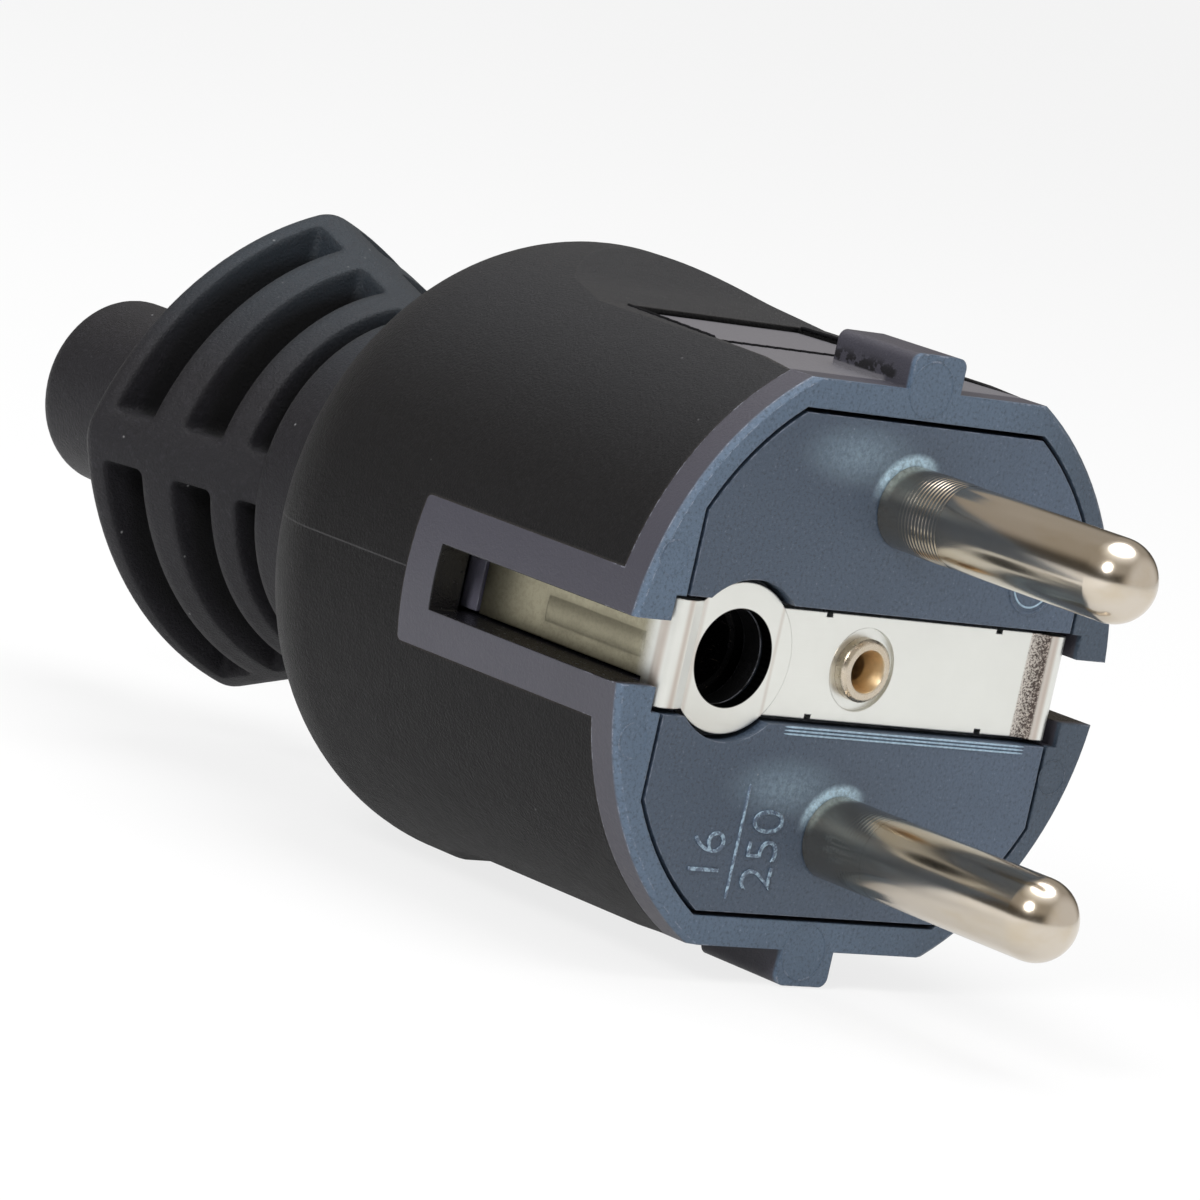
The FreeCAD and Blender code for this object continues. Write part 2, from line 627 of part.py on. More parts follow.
def grip(core_form, opening):
    """Soft grip: turned outside with a cone at the rear, two thumb scoops and open flats."""
    body = new_body("grip_turned")
    shell = turned(body, "grip_shell", [
        ("-collar_length", "0"), ("-collar_length", "body_radius"), (f"-{SHOULDER}", "body_radius"),
        ("-body_length", REAR_RADIUS), ("-body_length", "0")])
    shoulder_x = VALUES["cone_length"] - VALUES["body_length"]
    shoulder = rounded(body, "grip_shoulder", shell,
                       lambda edge: is_ring(edge, shoulder_x, VALUES["body_radius"]), "shoulder_round")
    rear_radius = VALUES["neck_radius"] + VALUES["neck_gap"] + VALUES["rear_wall"]
    rounded(body, "grip_rear", shoulder,
            lambda edge: is_ring(edge, -VALUES["body_length"], rear_radius), "rear_round")
    scoop = thumb_scoops()
    rest = block("rest_slab", ("-body_length - 1", "-body_radius - 1", f"-{REST}"),
                 ("0", "body_radius + 1", "body_radius + 1"))
    neck = rod("neck_hole", FLANGE_SEAT, "body_length + 1", NECK_HOLE)
    lying = common("grip_blank", [body, rest])
    publish(cut("grip", lying, [core_form, opening, scoop, neck]), "soft_grip")


def thumb_scoops():
    """The hollows above and below the grip that run from the flats up to full height."""
    body = new_body("thumb_scoops")
    sketch = sketch_on(body, "scoop_profile", "XZ_Plane")
    for sign in ("", "-"):
        low, mid = (f"{sign}({FLAT} + {height})" for height in ("scoop_low", "scoop_mid"))
        clear = f"{sign}(body_radius + 2)"
        top = f"{sign}(body_radius + {OVERRUN})"
        polygon(sketch, [("1", low), ("-flat_length", low), (f"-{SCOOP_TURN}", mid), (f"-{SCOOP_END}", top),
                         (f"-{SCOOP_END}", clear), ("1", clear)])
    prism = pad_both(body, "scoop_prism", sketch, "2 * body_radius")
    turn_x = -VALUES["flat_length"] - VALUES["scoop_turn"]
    rounded(body, "scoop_turn_round", prism,
            lambda edge: edge.BoundBox.YLength > 1 and abs(edge.BoundBox.XMax - turn_x) < 0.01, "scoop_round")
    return body


# Contact carrier, cover and clamp


def contact_carrier():
    """Front insert: plate, chamber walls, screw bosses and latch arms in one moulding."""
    wall = new_body("carrier_walls")
    ring = across(wall, "skirt_section", "plate_depth")
    circle(ring, SKIRT)
    circle(ring, f"{SKIRT} - skirt_wall")
    pad(wall, "skirt", ring, "chamber_depth - plate_depth")
    gate = across(wall, "skirt_gate", "plate_depth")
    centred(gate, f"{SKIRT} + 1", "barrier_low")
    pocket(wall, "skirt_sides", gate, "chamber_depth")
    barriers = []
    for side, low, high in (("upper", "barrier_low", "barrier_low + barrier_wall"),
                            ("lower", "-barrier_low - barrier_wall", "-barrier_low")):
        half = f"sqrt(({SKIRT} - skirt_wall / 2)^2 - (barrier_low + barrier_wall)^2)"
        barriers.append(block(f"barrier_{side}", ("-chamber_depth", f"-{half}", low),
                              ("-plate_depth", half, high)))
        height = "boss_z" if side == "upper" else "-boss_z"
        barriers.append(rod(f"boss_{side}", "plate_depth", "chamber_depth", "boss_radius", "-boss_y", height))
    arms = []
    for side, sign in (("left", "-"), ("right", "")):
        near, far, tip = (f"{sign}{ARM_NEAR}", f"{sign}{ARM_FAR}", f"{sign}{LEG}")
        low, high = (far, near) if sign else (near, far)
        back = f"-{BARB_END}"
        arms.append(block(f"arm_{side}", (back, low, "-arm_half"), ("-plate_depth", high, "arm_half")))
        low, high = (tip, far) if sign else (far, tip)
        arms.append(block(f"barb_{side}", (back, low, "-arm_half"), (f"-{BARB_START}", high, "arm_half")))
    blank = fuse("carrier_blank", [carrier_blank("carrier_plate", "0"), wall] + barriers + arms)
    publish(cut("carrier", blank, carrier_cuts()), "contact_carrier")


def carrier_cuts():
    """Channel for the strip, holes for pins, rivet and earth sleeve, and screw holes."""
    half = "(strip_width / 2 + strip_gap)"
    channel = block("strip_channel", (f"-{PLATE_FACE}", "-body_radius", f"-{half}"),
                    ("1", "body_radius", half))
    relief = rod("ring_relief", "-1", f"{PLATE_FACE}", "ring_diameter / 2 + strip_gap", "-earth_offset")
    cuts = [channel, relief]
    for side, low, high in (("left", "-body_radius", f"-{LEG_INSIDE}"), ("right", LEG_INSIDE, "body_radius")):
        cuts.append(block(f"fold_relief_{side}", ("-plate_depth - 1", low, f"-{half}"), ("1", high, half)))
    cuts.append(rod("rivet_hole", "0", "plate_depth + 1", "rivet_diameter / 2", "0"))
    cuts.append(rod("earth_pin_hole", "0", "plate_depth + 1", "plate_hole / 2", "-earth_offset"))
    for side, sign in (("upper", ""), ("lower", "-")):
        cuts.append(rod(f"pin_hole_{side}", "-1", "plate_depth + 1", SHANK, "0", f"{sign}pin_spacing / 2"))
        cuts.append(rod(f"boss_hole_{side}", "plate_depth + 1", "chamber_depth + 1", "cover_screw", "-boss_y",
                        f"{sign}boss_z"))
        driver = doc.addObject("Part::Cylinder", f"driver_hole_{side}")
        bind(driver, Radius="driver_hole", Height="body_radius - block_half - head_height")
        place(driver, f"-({HEAD_BACK} - screw_back)", "block_half + head_height + head_rise",
              f"{sign}pin_spacing / 2", Rotation(Vector(1, 0, 0), -90))
        cuts.append(driver)
    return cuts


def terminal_cover():
    """Rear plate over the terminals, with an arm that carries the lower half of the clamp."""
    plate = rod("cover_plate", "chamber_depth", COVER_BACK, SKIRT)
    arm = block("cover_arm", (f"-{SADDLE_FRONT} - 1", "-saddle_depth", "-web_half"),
                (f"-{COVER_BACK} + 1", "-saddle_depth + web_thick", "web_half"))
    saddle = block("cover_saddle", (f"-{SADDLE_BACK}", "-saddle_depth", "-saddle_half"),
                   (f"-{SADDLE_FRONT}", "-saddle_gap", "saddle_half"))
    cuts = [rod("cord_groove_lower", f"{SADDLE_FRONT} - 1", f"{SADDLE_BACK} + 1", "cord_radius")]
    front, back = "chamber_depth - 1", f"{COVER_BACK} + 1"
    cuts.append(rod("sleeve_clearance", front, back, f"{SLEEVE_OUT} + carrier_gap", "-earth_offset"))
    cuts.append(rod("earth_wire_hole", front, back, "cover_hole", "earth_block_y"))
    for side, sign in (("upper", ""), ("lower", "-")):
        cuts.append(rod(f"wire_hole_{side}", front, back, "cover_hole", "0", f"{sign}pin_spacing / 2"))
        cuts.append(rod(f"cover_screw_hole_{side}", front, back, "cover_screw + screw_fit", "-boss_y",
                        f"{sign}boss_z"))
        hole = doc.addObject("Part::Cylinder", f"clamp_screw_hole_{side}")
        bind(hole, Radius="clamp_screw + screw_fit", Height="clamp_bite + 1")
        place(hole, f"-{SADDLE_MID}", "-saddle_gap - clamp_bite", f"{sign}clamp_screw_z",
              Rotation(Vector(1, 0, 0), -90))
        cuts.append(hole)
    arm_room = f"({ARM_NEAR} - carrier_gap)"
    for side, low, high in (("left", f"-{SKIRT} - 1", f"-{arm_room}"), ("right", arm_room, f"{SKIRT} + 1")):
        cuts.append(block(f"arm_room_{side}", (f"-{COVER_BACK} - 1", low, "-arm_half - carrier_gap"),
                          ("0", high, "arm_half + carrier_gap")))
    publish(cut("cover", fuse("cover_blank", [plate, arm, saddle]), cuts), "terminal_cover")


def cord_clamp():
    """Upper half of the clamp, with rounded ends and a groove for the cord."""
    body = new_body("clamp_bar")
    sketch = across(body, "bar_section", SADDLE_FRONT)
    rectangle(sketch, "saddle_gap", "-saddle_half", "bridge_top", "saddle_half")
    bar = pad(body, "bar", sketch, "saddle_length")
    rounded(body, "bar_ends", bar,
            lambda edge: edge.BoundBox.XLength > 1 and abs(edge.BoundBox.YMax - VALUES["bridge_top"]) < 0.01,
            "bridge_round")
    groove = across(body, "bar_groove", SADDLE_FRONT)
    circle(groove, "cord_radius")
    pocket(body, "cord_groove_upper", groove, "saddle_length")
    holes = sketch_on(body, "bar_holes", "XZ_Plane")
    circle(holes, "clamp_screw + screw_fit", f"-{SADDLE_MID}", "clamp_screw_z")
    circle(holes, "clamp_screw + screw_fit", f"-{SADDLE_MID}", "-clamp_screw_z")
    pocket(body, "bar_screw_holes", holes, "4 * bridge_top", both=True)
    publish(body, "cord_clamp")


def screw(label, radius, shank, head, height):
    """A slotted screw along +X: the underside of its head lies at its own origin."""
    body = new_body(label + "_body")
    turned(body, "turned", [
        (f"-({shank})", "0"), (f"-({shank})", f"{radius} - tip_cone"), (f"-({shank}) + tip_cone", radius),
        ("0", radius), ("0", head), (f"{height} - head_break", head), (height, f"{head} - head_break"),
        (height, "0")])
    slot = sketch_on(body, "slot", "YZ_Plane", height)
    centred(slot, f"{head} + 1", "driver_slot / 2")
    pocket(body, "driver_cut", slot, "driver_depth")
    publish(body, label)
    return body


# Live parts


def contact_pin(label, sign):
    """Turned pin with a round nose, a collar behind the plate and a square terminal head."""
    body = new_body(label + "_body")
    nose = "pin_diameter / 2"
    shaft = turned(body, "shaft", [
        ("pin_length", "0"), ("pin_length", nose), ("shank_proud", nose), ("shank_proud", SHANK),
        ("-plate_depth", SHANK), ("-plate_depth", "pin_collar"),
        (f"-{HEAD_FRONT}", "pin_collar"), (f"-{HEAD_FRONT}", "0")])
    rounded(body, "round_nose", shaft,
            lambda edge: is_ring(edge, VALUES["pin_length"], VALUES["pin_diameter"] / 2), f"{nose} - 0.01")
    terminal_head(body, HEAD_FRONT, "block_length")
    place(body, z=f"{sign}pin_spacing / 2")
    publish(body, label)


def terminal_head(body, front, length):
    """Square head with a blind bore for the wire and a hole for its screw, about the body's axis."""
    square = across(body, "head_section", front)
    centred(square, "block_half", "block_half")
    pad(body, "head", square, length)
    bore = across(body, "wire_section", f"{front} + wire_floor")
    circle(bore, "wire_bore / 2")
    pocket(body, "wire_hole", bore, length)
    hole = sketch_on(body, "screw_section", "XZ_Plane")
    circle(hole, "screw_radius + screw_fit", f"-({front} + {length} - screw_back)")
    pocket(body, "screw_hole", hole, "2 * block_half")


def earth_terminal():
    """Block for the earth wire, riveted to the bus by a stub."""
    body = new_body("earth_block")
    turned(body, "stub", [("-plate_depth", "0"), ("-plate_depth", "stub_radius"),
                          (f"-{BUS_BACK} - 1", "stub_radius"), (f"-{BUS_BACK} - 1", "0")])
    terminal_head(body, BUS_BACK, "block_length")
    place(body, y="earth_block_y")
    publish(body, "earth_terminal")


def terminal_fittings(label, back, y, z):
    """Screw and wire guard of one terminal whose head ends at distance back behind the face."""
    tip = "(guard_low + guard_thick)"
    bolt = screw(f"terminal_screw_{label}", "screw_radius", f"block_half + head_rise - {tip}", "screw_head",
                 "head_height")
    place(bolt, f"-({back} - screw_back)", f"{y} + block_half + head_rise", z, Rotation(Vector(0, 0, 1), 90))
    guard = new_body(f"guard_{label}")
    sketch = sketch_on(guard, "leaf_profile", "XY_Plane")
    low = "guard_low"
    high = f"{low} + guard_thick"
    polygon(sketch, [("guard_length", low), ("guard_length", high), ("0", high), ("0", "block_half"),
                     ("-guard_thick", "block_half"), ("-guard_thick", low)])
    pad_both(guard, "leaf", sketch, "2 * guard_half")
    place(guard, f"-({back})", y, z)
    publish(guard, f"wire_guard_{label}")


# Earth parts


def earth_strip():
    """Folded strip: ring and dish across the face, a rise at each end and a leg down each side."""
    body = new_body("strip_folded")
    ring = "-strip_sink"
    plate = "-(strip_sink + strip_step)"
    ridge = "-(strip_sink - strip_rise)"
    top = [("-leg_end", f"-{LEG}"), (ridge, f"-{LEG}"), (ridge, f"-{RAMP_HEAD}"), (ring, f"-{RAMP_FOOT}"),
           (ring, "-step_y"), (plate, "-step_y + strip_step"), (plate, RAMP_FOOT), (ridge, RAMP_HEAD),
           (ridge, LEG), ("-leg_end", LEG)]
    under = [("-leg_end", LEG_INSIDE), (f"{ridge} - strip_thickness", LEG_INSIDE),
             (f"{ridge} - strip_thickness", f"{RAMP_HEAD} - strip_thickness / 4"),
             (f"{plate} - strip_thickness", f"{RAMP_FOOT} - strip_thickness / 4"),
             (f"{plate} - strip_thickness", "-step_y + strip_step"), (f"{ring} - strip_thickness", "-step_y"),
             (f"{ring} - strip_thickness", f"-{RAMP_FOOT} + strip_thickness / 4"),
             (f"{ridge} - strip_thickness", f"-{RAMP_HEAD} + strip_thickness / 4"),
             (f"{ridge} - strip_thickness", f"-{LEG_INSIDE}"), ("-leg_end", f"-{LEG_INSIDE}")]
    profile = sketch_on(body, "strip_profile", "XY_Plane")
    polygon(profile, top + under)
    sheet = pad_both(body, "sheet", profile, "strip_width")
    ridge_x = VALUES["strip_rise"] - VALUES["strip_sink"]
    leg_y = VALUES["body_radius"] - VALUES["strip_inset"]
    folds = rounded(body, "folds", sheet,
                    lambda edge: edge.BoundBox.ZLength > 1 and abs(edge.BoundBox.XMax - ridge_x) < 0.01
                    and abs(abs(edge.BoundBox.YMax) - leg_y) < 0.01, "fold_round")
    disc = across(body, "ring_outline", "strip_sink")
    circle(disc, "ring_diameter / 2", "-earth_offset")
    pad(body, "ring", disc, "strip_thickness")
    legs = across(body, "leg_trim", "leg_shoulder")
    for low, high in (("leg_width / 2", "strip_width"), ("-strip_width", "-leg_width / 2")):
        rectangle(legs, "-body_radius", low, "body_radius", high)
    pocket(body, "narrow_legs", legs, "leg_end")
    holes = across(body, "strip_holes", "-1")
    circle(holes, "earth_hole / 2", "-earth_offset")
    circle(holes, "rivet_diameter / 2")
    pocket(body, "holes", holes, "3")
    dish = across(body, "dish_outline", "strip_sink + strip_step")
    circle(dish, "dish_diameter / 2")
    pocket(body, "dish", dish, "dish_depth")
    stakes = across(body, "stake_notches", "0")
    for y in ("-earth_offset / 3", "earth_offset"):
        for edge in ("strip_width / 2", "-strip_width / 2"):
            rectangle(stakes, f"{y} - stake_size / 2", f"{edge} - stake_size / 2", f"{y} + stake_size / 2",
                      f"{edge} + stake_size / 2")
    pocket(body, "stakes", stakes, "leg_shoulder")
    beads = [leg_bead("left", "-"), leg_bead("right", "")]
    publish(fuse("strip", [body] + beads), "earth_strip")


def leg_bead(side, sign):
    """Rounded bead pressed outward in one leg, the outer slice of a wide lying cylinder."""
    radius = "((bead_width^2 / 4 + bead_rise^2) / (2 * bead_rise))"
    depth = f"{sign}({LEG} + bead_rise - {radius})"
    bar = rod(f"bead_bar_{side}", "bead_start", "bead_end", radius, depth)
    ends = (f"-{LEG} - 1", f"-{LEG} + strip_thickness / 2"), (f"{LEG} - strip_thickness / 2", f"{LEG} + 1")
    low, high = ends[0] if sign else ends[1]
    slab = block(f"bead_slab_{side}", ("-bead_end - 1", low, "-bead_width / 2"),
                 ("0", high, "bead_width / 2"))
    return common(f"bead_{side}", [bar, slab])


def earth_rivet():
    """Hollow rivet through strip, plate and bus, rolled over a cone at the front."""
    body = new_body("rivet_turned")
    seat = "-(strip_sink + strip_step + dish_depth)"
    front = f"{seat} + dish_depth + rivet_proud"
    lip = "rivet_lip / 2"
    shank = "rivet_diameter / 2"
    turned(body, "rivet", [
        (front, "rivet_mouth / 2"), (front, f"{lip} - lip_break"), (f"{front} - lip_break", lip),
        (seat, lip), (seat, shank),
        (f"-{BUS_BACK}", shank), (f"-{BUS_BACK}", "rivet_head / 2"),
        (f"-{BUS_BACK} - rivet_head_height", "rivet_head / 2"),
        (f"-{BUS_BACK} - rivet_head_height", "rivet_bore / 2"), ("-plate_depth / 2", "rivet_bore / 2")])
    publish(body, "earth_rivet")


def earth_bus():
    """Flat plate behind the carrier plate that joins rivet, earth sleeve and earth terminal."""
    body = new_body("bus_plate")
    bar = across(body, "bus_bar", "plate_depth")
    rectangle(bar, "-earth_offset", "-bus_half", "bus_reach", "bus_half")
    pad(body, "bar", bar, "bus_thickness")
    end = across(body, "bus_end", "plate_depth")
    circle(end, "bus_ring", "-earth_offset")
    pad(body, "end", end, "bus_thickness")
    holes = across(body, "bus_holes", "0")
    circle(holes, "earth_hole / 2", "-earth_offset")
    circle(holes, "rivet_diameter / 2")
    circle(holes, "stub_radius", "earth_block_y")
    pocket(body, "holes", holes, f"{BUS_BACK} + 1")
    publish(body, "earth_bus")


def earth_socket():
    """Flanged sleeve with four slits, whose fingers close on a socket's earth pin."""
    body = new_body("socket_turned")
    bore = "sleeve_bore / 2"
    turned(body, "sleeve", [
        (f"-{BUS_BACK}", bore), (f"-{BUS_BACK}", "flange_edge"),
        (f"-{BUS_BACK} - sleeve_flange", "flange_edge"), (f"-{BUS_BACK} - sleeve_flange", SLEEVE_OUT),
        ("-sleeve_end", SLEEVE_OUT), ("-sleeve_end", bore)])
    slit = across(body, "slit_section", f"{BUS_BACK} + sleeve_solid")
    rectangle(slit, "0", "-sleeve_slit / 2", f"{SLEEVE_OUT} + 1", "sleeve_slit / 2")
    first = pocket(body, "slit", slit, "sleeve_end")
    about_axis(body, "slits", [first], 4)
    place(body, y="-earth_offset", turn=Rotation(Vector(1, 0, 0), 45))
    publish(body, "earth_socket")
    ring = new_body("spring_ring")
    outer = f"{SLEEVE_OUT} + spring_wall"
    spring_back = "-spring_front - spring_width"
    turned(ring, "band", [("-spring_front", SLEEVE_OUT), ("-spring_front", outer), (spring_back, outer),
                          (spring_back, SLEEVE_OUT)])
    opening = across(ring, "opening", "0")
    rectangle(opening, "0", "-spring_gap / 2", f"{SLEEVE_OUT} + 1", "spring_gap / 2")
    pocket(ring, "gap", opening, "spring_front + spring_width + 1")
    place(ring, y="-earth_offset")
    publish(ring, "socket_spring")


# Bend relief


def bend_relief():
    """Soft bend relief: flanged neck, flared cage with three rows of slots, and a cord sleeve."""
    body = new_body("relief")
    turned(body, "neck", [
        (f"-{FLANGE_FRONT}", "0"), (f"-{FLANGE_FRONT}", FLANGE), (f"-{FLANGE_SEAT}", FLANGE),
        (f"-{FLANGE_SEAT}", "neck_radius"), (f"-{CAGE_START}", "neck_radius"), (f"-{CAGE_START}", "0")])
    front = across(body, "cage_front_section", CAGE_START)
    bulged_square(front, "cage_front", "side_front")
    rear = across(body, "cage_rear_section", CAGE_END)
    bulged_square(rear, "cage_rear", "side_rear")
    cage = body.newObject("PartDesign::AdditiveLoft", "cage")
    cage.Profile = front
    cage.Sections = [rear]
    cage.Ruled = True
    doc.recompute()
    rim_x = cage.Shape.BoundBox.XMin
    cage_start = -VALUES["body_length"] - VALUES["neck_show"] + 0.01
    cage_rear = rim_x + VALUES["rim_thick"] / 2
    cage_length = cage_start - rim_x
    corners = rounded(body, "cage_corners", cage,
                      lambda edge: abs(edge.BoundBox.XLength - cage_length) < 0.5, "cage_round")
    rounded(body, "cage_rim", corners,
            lambda edge: edge.BoundBox.XLength < 0.3 and abs(edge.BoundBox.XMin - rim_x) < 0.05, "rim_round")
    slots = []
    start = CAGE_START
    rows = (("front", "front_slot", "front_ring"), ("middle", "middle_slot", "middle_ring"),
            ("rear", "rear_slot", "rim_thick"))
    for row, width, ring in rows:
        window = across(body, f"{row}_window", start)
        rectangle(window, "web_width / 2", "web_width / 2", "body_radius", "body_radius")
        slots.append(pocket(body, f"{row}_slots", window, width))
        start = f"{start} + {width} + {ring}"
    quarters = about_axis(body, "four_quarters", slots, 4)
    web = VALUES["web_width"] / 2
    rounded(body, "slot_corners", quarters,
            lambda edge: edge.BoundBox.XLength < 0.01 and cage_rear < edge.BoundBox.XMin < cage_start
            and (on_level(edge.BoundBox.YMin, edge.BoundBox.YMax, web)
                 or on_level(edge.BoundBox.ZMin, edge.BoundBox.ZMax, web)), "slot_round")
    recess = across(body, "rim_recess_section", f"{CAGE_END} - rim_depth")
    circle(recess, "rim_recess")
    pocket(body, "rim_recess_cut", recess, "rim_depth + 1")
    tube = across(body, "sleeve_section", f"{CAGE_START} - 1")
    circle(tube, "sleeve_radius")
    sleeve = pad(body, "cord_sleeve", tube, f"{SLEEVE_END} - {CAGE_START} + 1")
    rounded(body, "sleeve_mouth", sleeve,
            lambda edge: is_ring(edge, sleeve.Shape.BoundBox.XMin, VALUES["sleeve_radius"]), "mouth_round")
    bored(body, "cord_way", [
        (f"-{FLANGE_FRONT} + 1", "0"), (f"-{FLANGE_FRONT} + 1", "funnel_radius"),
        (f"-({FLANGE_SEAT} + funnel_lead)", "funnel_radius"),
        (f"-({CAGE_START} - funnel_tail)", "cord_radius"), (f"-{SLEEVE_END} - 1", "cord_radius"),
        (f"-{SLEEVE_END} - 1", "0")])
    publish(body, "bend_relief")


def check_and_write():
    """Stop on any failed feature or bad solid, then write one file for each sub-part."""
    doc.recompute()
    for item in doc.Objects:
        if "Invalid" in item.State or "Error" in item.State:
            raise RuntimeError(f"{item.Name} failed: {item.State}")
    for item in subparts:
        shape = item.Shape
        if shape.isNull() or not shape.isValid() or not shape.Solids:
            raise RuntimeError(f"{item.Label} has no valid solid")
        shape.exportStep(f"parts/{item.Label}.step")
        box = shape.BoundBox
        print(f"{item.Label:24s} solids {len(shape.Solids)} volume {shape.Volume:9.1f} "
              f"x {box.XMin:7.2f} to {box.XMax:7.2f}")


write_sheet()
flats = flat_opening()
core = core_outside(flats)
housing(core)
grip(core, flats)
contact_carrier()
terminal_cover()
cord_clamp()
contact_pin("pin_line", "")
contact_pin("pin_neutral", "-")
earth_terminal()
terminal_fittings("line", HEAD_BACK, "0", "pin_spacing / 2")
terminal_fittings("neutral", HEAD_BACK, "0", "-pin_spacing / 2")
terminal_fittings("earth", EARTH_BACK, "earth_block_y", "0")
earth_strip()
earth_rivet()
earth_bus()
earth_socket()
for name, sign in (("upper", ""), ("lower", "-")):
    fixing = screw(f"cover_screw_{name}", "cover_screw", "cover_thick + cover_grip", "cover_head",
                   "cover_head_height")
    place(fixing, f"-{COVER_BACK}", "-boss_y", f"{sign}boss_z", Rotation(Vector(0, 0, 1), 180))
    fixing = screw(f"clamp_screw_{name}", "clamp_screw", "bridge_top + saddle_gap + clamp_bite", "clamp_head",
                   "clamp_head_height")
    place(fixing, f"-{SADDLE_MID}", "bridge_top", f"{sign}clamp_screw_z", Rotation(Vector(0, 0, 1), 90))
bend_relief()
check_and_write()
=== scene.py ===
import math

import bpy
import numpy as np
from bpy.props import FloatProperty, FloatVectorProperty, IntProperty, PointerProperty, StringProperty
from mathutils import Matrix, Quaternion, Vector


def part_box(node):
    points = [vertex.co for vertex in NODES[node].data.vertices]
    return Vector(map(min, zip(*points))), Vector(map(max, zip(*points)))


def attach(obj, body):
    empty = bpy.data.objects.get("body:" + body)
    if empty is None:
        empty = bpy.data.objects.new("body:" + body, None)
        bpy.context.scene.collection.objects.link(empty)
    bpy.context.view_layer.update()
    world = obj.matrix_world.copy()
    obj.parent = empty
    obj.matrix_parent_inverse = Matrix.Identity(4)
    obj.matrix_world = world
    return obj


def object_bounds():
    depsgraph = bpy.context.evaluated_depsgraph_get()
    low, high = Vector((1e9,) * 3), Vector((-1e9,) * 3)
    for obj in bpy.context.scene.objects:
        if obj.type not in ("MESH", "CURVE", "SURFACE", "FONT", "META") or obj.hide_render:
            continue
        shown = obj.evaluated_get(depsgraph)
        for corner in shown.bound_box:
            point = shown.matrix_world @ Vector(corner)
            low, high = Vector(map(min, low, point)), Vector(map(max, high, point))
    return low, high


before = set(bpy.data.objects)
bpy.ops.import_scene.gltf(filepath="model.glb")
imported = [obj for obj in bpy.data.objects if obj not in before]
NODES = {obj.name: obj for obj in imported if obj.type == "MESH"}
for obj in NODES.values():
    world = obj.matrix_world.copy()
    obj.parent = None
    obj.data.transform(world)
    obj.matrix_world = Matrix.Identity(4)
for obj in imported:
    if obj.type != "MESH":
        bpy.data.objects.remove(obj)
CAD_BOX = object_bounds()

bl_info = {
    "name": "Earthed Plug",
    "version": (1, 0, 0),
    "blender": (4, 5, 0),
    "location": "View3D > Sidebar > Plug",
    "description": "Finishes, face markings and studio for a rewirable earthed plug",
    "category": "Object",
}

MM = 0.001

# Places on the CAD part, in millimetres
PIN_LOW, PIN_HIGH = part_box("pin_line")
PIN_Z = (PIN_LOW.z + PIN_HIGH.z) / 2 / MM
EARTH_Y = -10.0
FLAT_STEP_X, FLAT_END_X = -9.7, -18.9
FLAT_Z, GRIP_EDGE_Z = 16.1, 16.27
FLAT_HALF_WIDTH, FLAT_TAPER = 9.45, 0.1396
CAGE_FRONT_X, CAGE_REAR_X = -42.5, -53.35
WEB_RADIUS, WEB_TAPER = 10.5, -0.24

# Places, (y, z), and sizes of the small raised features, in millimetres
RIM_SPOTS = ((-16.55, 5.35), (-16.55, -4.9), (15.95, -5.05))
RIB_SPOTS = ((-0.3, 16.2), (-0.3, -16.2))
RIB_MARK_SCALE = 1.6
UPPER_CORNER, UPPER_LENGTH = (-10.5, -11.9), 2.3
LOWER_CORNER, LOWER_LENGTH = (-6.4, -12.8), 4.6
BAR_Y, BAR_LOW_Z, BAR_HIGH_Z = -7.2, -13.4, -6.8
RIDGE_LEFT_Y, RIDGE_RIGHT_Y = -5.6, 13.2
RIDGE_ROWS = (-3.43, -3.63, -3.83)
CIRCLE_CENTRE, CIRCLE_RADIUS, INNER_RADIUS = (10.9, 6.0), 1.75, 1.4
# Black beads at the top and bottom flats' step and edges, standing in for shadow lines as painted shade.
SHADOW_LINE_WIDTH, SHADOW_LINE_HEIGHT = 0.3, 0.11
SHADOW_LINE_STEP_REACH, SHADOW_LINE_FRONT_Y, SHADOW_LINE_END_Y = 8.0, 8.13, 6.84
SHADOW_LINE_WAVES = ((0.05, 7.0), (0.04, 17.0))
RING_BASE, LINE_RING_DEPTH, NEUTRAL_RING_DEPTH = 0.004, 0.026, 0.003

# Rows of points to a turned ring, bevel and thinning of the numerals in parts of the font's height
RING_STEPS = 12
STROKE_BEVEL, STROKE_THINNING = 0.012, -0.028

# Shared by the stage: plain white, and the way to the room's bright side
WHITE = (1.0, 1.0, 1.0, 1.0)
BRIGHT_SIDE = (0.74, 0.67, 0.0)


# Shader expressions


class Quantity:
    """A value socket in an expression; arithmetic on it adds Math nodes to its finish."""

    def __init__(self, finish, socket):
        self.finish = finish
        self.socket = socket

    def __add__(self, other):
        return self.finish.math("ADD", self, other)

    def __sub__(self, other):
        return self.finish.math("SUBTRACT", self, other)

    def __rsub__(self, other):
        return self.finish.math("SUBTRACT", other, self)

    def __mul__(self, other):
        return self.finish.math("MULTIPLY", self, other)

    def __truediv__(self, other):
        return self.finish.math("DIVIDE", self, other)

    def __abs__(self):
        return self.finish.math("ABSOLUTE", self, 0.0)

    __radd__ = __add__
    __rmul__ = __mul__


